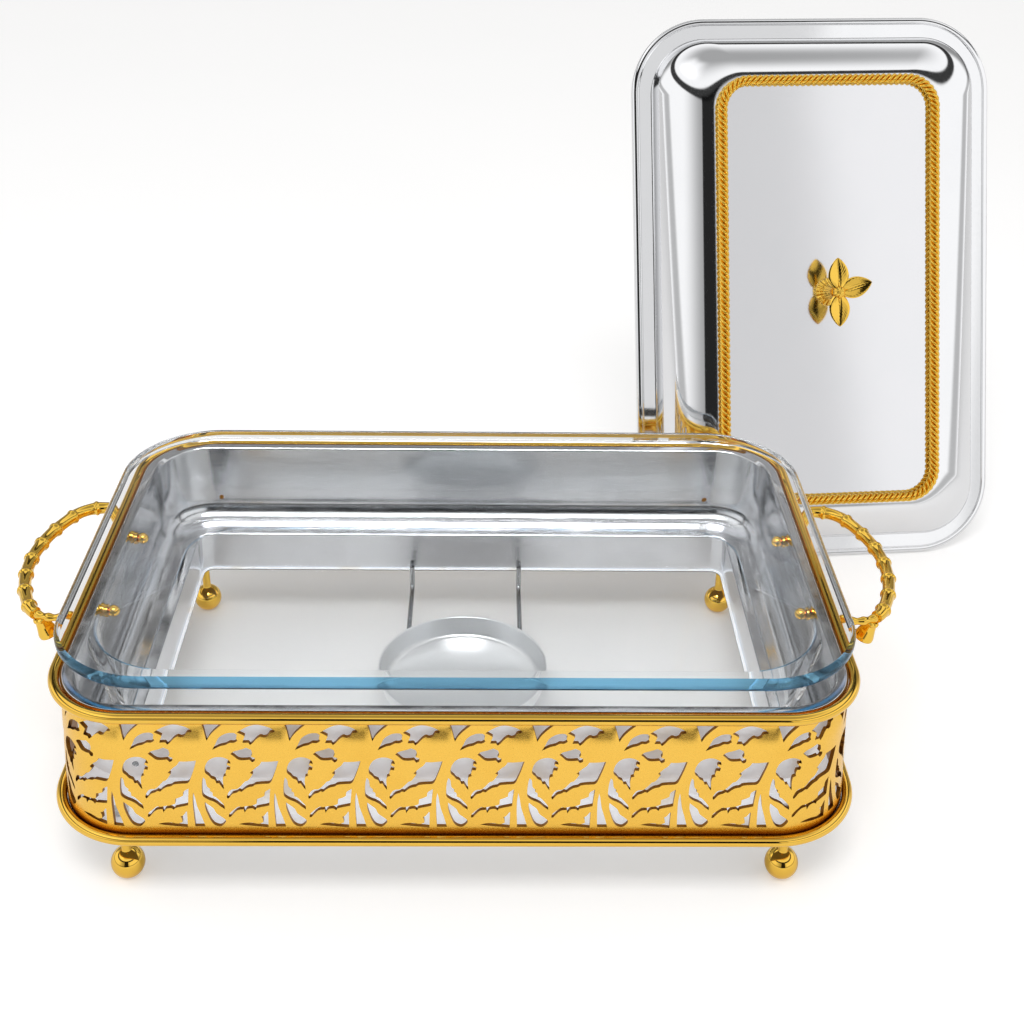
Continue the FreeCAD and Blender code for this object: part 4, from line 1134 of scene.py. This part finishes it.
def leaf_form(length, wide, thick, droop):
    """A pointed leaf along +Y with a midrib, its back flat on the band."""

    def spot(along, across, front):
        half = wide * math.sin(math.pi * along**0.75) ** 0.9 + 0.05
        rib = 0.5 * math.exp(-((across / 0.16) ** 2)) * (1 - along)
        vein = 0.12 * math.sin(26 * (along - 0.4 * abs(across)))
        body = thick * (1 - 0.75 * across * across) * (1 - 0.5 * along)
        height = (body + rib + vein) if front else 0
        return half * across, length * along, height + droop * along * along

    return two_faced(24, 10, spot)


def on_band(y, z, turn_degrees, out=0):
    """A frame on the band's end: its z axis points out of the band, and its y axis is turned from up."""
    lean = math.atan(FLARE / (UPPER_Z - LOWER_Z))
    x = out + (SCREW_Z - z) * math.tan(lean)
    upright = Matrix(((0, 0, 1, x), (1, 0, 0, y), (0, 1, 0, z), (0, 0, 0, 1)))
    tilt = Matrix.Rotation(lean, 4, "X")
    return upright @ tilt @ Matrix.Rotation(math.radians(turn_degrees), 4, "Z")


def bamboo_radius(knots):
    """The culm's radius along the loop: waisted between its knots, ridged at each."""

    def radius(at):
        if at < TWIG:
            return 2.1 + 0.3 * math.sin(at)
        best = min(abs(at - knot) for knot in knots)
        ridge = 0.72 * math.exp(-((best / 0.9) ** 4))
        groove = -0.3 * math.exp(-((best / 0.25) ** 2))
        swell = 0.3 * math.exp(-((best / 3) ** 2))
        return ROD - 0.05 + ridge + groove + swell

    return radius


# The culm's cut end, as (radius, length along its axis, rounding): a hollow, its lip and its flare.
STUMP = (
    (0.05, 3.4, 0), (3.3, 3.2, 0.8), (3.9, 0, 0.4), (5.3, 0, 0.7), (5.2, 2.2, 1),
    (4, 6.4, 3), (3.3, 9.6, 1), (3.9, 10.2, 0.4), (3.9, 11.2, 0.4), (2.9, 11.8, 0.4), (0.05, 12.4, 0),
)
STUMP_FOOT = Vector((18.6, -52.6, 102.4))
STUMP_WAY = Vector((22.4, -53.2, 114)) - STUMP_FOOT
BOSS = ((0.05, 0.3, 0), (4, 0.3, 0), (4, 4.6, 1.6), (0.05, 5.6, 0))
# The leaves at an end, as (length, half width, thickness, droop) and (y, height, turn, gap).
LEAVES = (
    ((19, 6, 1.5, 1.2), (45, SCREW_Z, 118, 0.1)),
    ((15, 5, 1.4, 1.6), (44, SCREW_Z + 1, 68, 0.3)),
    ((17, 5.4, 1.4, 1), (44.5, SCREW_Z, -100, 0.1)),
)
PATH_STEP = 0.55


def add_handle(name, side):
    """One handle, on the right end for side 1."""
    line = handle_line()
    path = [spot for spot, _ in even_points(line, int(run_lengths(line)[-1] / PATH_STEP))]
    middle = run_lengths(path)[-1] / 2
    step = math.radians(KNOT_STEP) * BOW
    knots = [middle + step * number for number in range(-4, 5)]
    heap = Heap()
    heap.add(tube(path, bamboo_radius(knots), 22))
    heap.add(turned(filleted(STUMP, 5), 40), aimed(STUMP_FOOT, STUMP_WAY))
    for end in (-1, 1):
        for leaf, (y, z, turn, gap) in LEAVES:
            heap.add(leaf_form(*leaf), on_band(y * end, z, turn * end, gap))
        heap.add(turned(filleted(BOSS), 36), on_band(SCREW_Y * end, SCREW_Z, 0))
    place = Matrix.Translation((HANDLE_FACE * side, 0, 0))
    if side < 0:
        place = place @ Matrix.Scale(-1, 4, (1, 0, 0))
    add_piece(name + "_bamboo", heap.form, "stand", name, [GOLD_CAST], "gold", 60, place)


add_handle("left_handle", -1)
add_handle("right_handle", 1)

# Pieces that keep the frame's own solids get their metals here. The base frame takes the pale sheet with its
# painted glow and painted shade, and the handle screws the dark gold of painted shade.
OWN_METALS = {
    "base_frame": STEEL_PAINTED_GLOW,
    "foot_nuts": STEEL_PLAIN,
    "handle_screws": GOLD_PAINTED_SHADE,
    "handle_spacers": STEEL_PLAIN,
    "handle_washers": GOLD,
    "knob_screw": STEEL_PLAIN,
    "knob_washer": STEEL_PLAIN,
}
for node, own_metal in OWN_METALS.items():
    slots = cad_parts[node].data.materials
    slots.clear()
    slots.append(own_metal)

# The studio: a pale floor, a world seen in the metals and one soft lamp in front and above.
FLOOR_GLOW = 0.33
FLOOR_DIM = 0.2


def add_floor():
    """A wide pale floor, glowing faintly and less so in the metals."""
    half = 12
    mesh = bpy.data.meshes.new("floor")
    corners = [(-half, -half, 0), (half, -half, 0), (half, half, 0), (-half, half, 0)]
    mesh.from_pydata(corners, [], [(0, 1, 2, 3)])
    floor = bpy.data.objects.new("floor", mesh)
    SCENE.collection.objects.link(floor)
    graph, place = new_material("studio_floor")
    cloud = graph.noise(place, 3, 2)
    tint = graph.mix(cloud, (0.78, 0.775, 0.77, 1), (0.8, 0.795, 0.79, 1))
    matt = graph.add("BsdfDiffuse", {"Color": tint})
    mirrored = graph.add("LightPath").outputs["Is Glossy Ray"]
    level = graph.math("SUBTRACT", FLOOR_GLOW, graph.times(mirrored, FLOOR_DIM))
    glow = graph.add("Emission", {"Color": (1, 1, 1, 1), "Strength": level})
    both = graph.add("AddShader")
    graph.put(both.inputs[0], matt.outputs[0])
    graph.put(both.inputs[1], glow.outputs[0])
    mesh.materials.append(graph.finish(both))


add_floor()


def add_world():
    """A studio seen in the metals: bright overhead, pale sides, a dark front and a few dark cards.

    Azimuths go from the front to the right, and heights up from the floor, both in degrees.
    """
    SCENE.world = bpy.data.worlds.new("studio")
    graph = Graph(SCENE.world)
    x, y, z = graph.split(graph.add("TexCoord").outputs["Generated"])
    front = graph.times(y, -1)
    azimuth = graph.times(graph.math("ARCTAN2", x, front), 180 / math.pi)
    height = graph.times(graph.math("ARCSINE", z), 180 / math.pi)
    light = graph.smooth(height, 42, 76, 1.08, 0.42)
    behind = graph.smooth(graph.math("ABSOLUTE", azimuth), 118, 135)
    rear = graph.times(behind, graph.smooth(height, 26, 38, 1, 0))
    left_fall = graph.smooth(azimuth, -58, -8, 0, 0.62)
    right_step = graph.smooth(azimuth, 23.8, 25, 1, 0)
    left_side = graph.times(left_fall, graph.smooth(azimuth, 15, 17, 1, 0))
    right_side = graph.times(right_step, graph.smooth(azimuth, 15, 17, 0, 0.27))
    low = graph.smooth(height, 31, 35, 1, 0)
    sides = graph.times(graph.math("ADD", left_side, right_side), low)
    card = graph.times(graph.between(azimuth, -11, 15.5, 1.2), low)
    ring = graph.between(height, 31, 39, 1.2)
    glow = graph.times(graph.between(azimuth, -100, -35, 20), graph.between(height, 48, 70, 5))
    light = graph.math("ADD", light, graph.times(glow, 0.5))
    line = graph.between(height, 1, 7, 1.5)
    for shade, level in ((sides, 1), (card, 0.95), (ring, 0.96), (rear, 0.7), (line, 0.5)):
        light = graph.times(light, graph.math("SUBTRACT", 1, graph.times(shade, level)))
    background = graph.add("Background", {"Color": (1, 1, 1, 1), "Strength": light})
    graph.finish(background, "OutputWorld")


add_world()


# The lamp's place, aim and size are in metres, and its power in watts.
LAMP_PLACE = Vector((-0.05, -0.95, 1.9))
LAMP_AIM = Vector((0.02, 0, 0))
LAMP_WIDE = 0.9
LAMP_DEEP = 0.55
LAMP_POWER = 17


def add_lamp():
    """A soft lamp that the metals don't mirror."""
    lamp = bpy.data.lights.new("top_light", "AREA")
    lamp.shape = "RECTANGLE"
    lamp.size = LAMP_WIDE
    lamp.size_y = LAMP_DEEP
    lamp.energy = LAMP_POWER
    item = bpy.data.objects.new("top_light", lamp)
    turn = (LAMP_AIM - LAMP_PLACE).to_track_quat("-Z", "Y").to_matrix().to_4x4()
    item.matrix_world = Matrix.Translation(LAMP_PLACE) @ turn
    item.visible_glossy = False
    SCENE.collection.objects.link(item)


add_lamp()
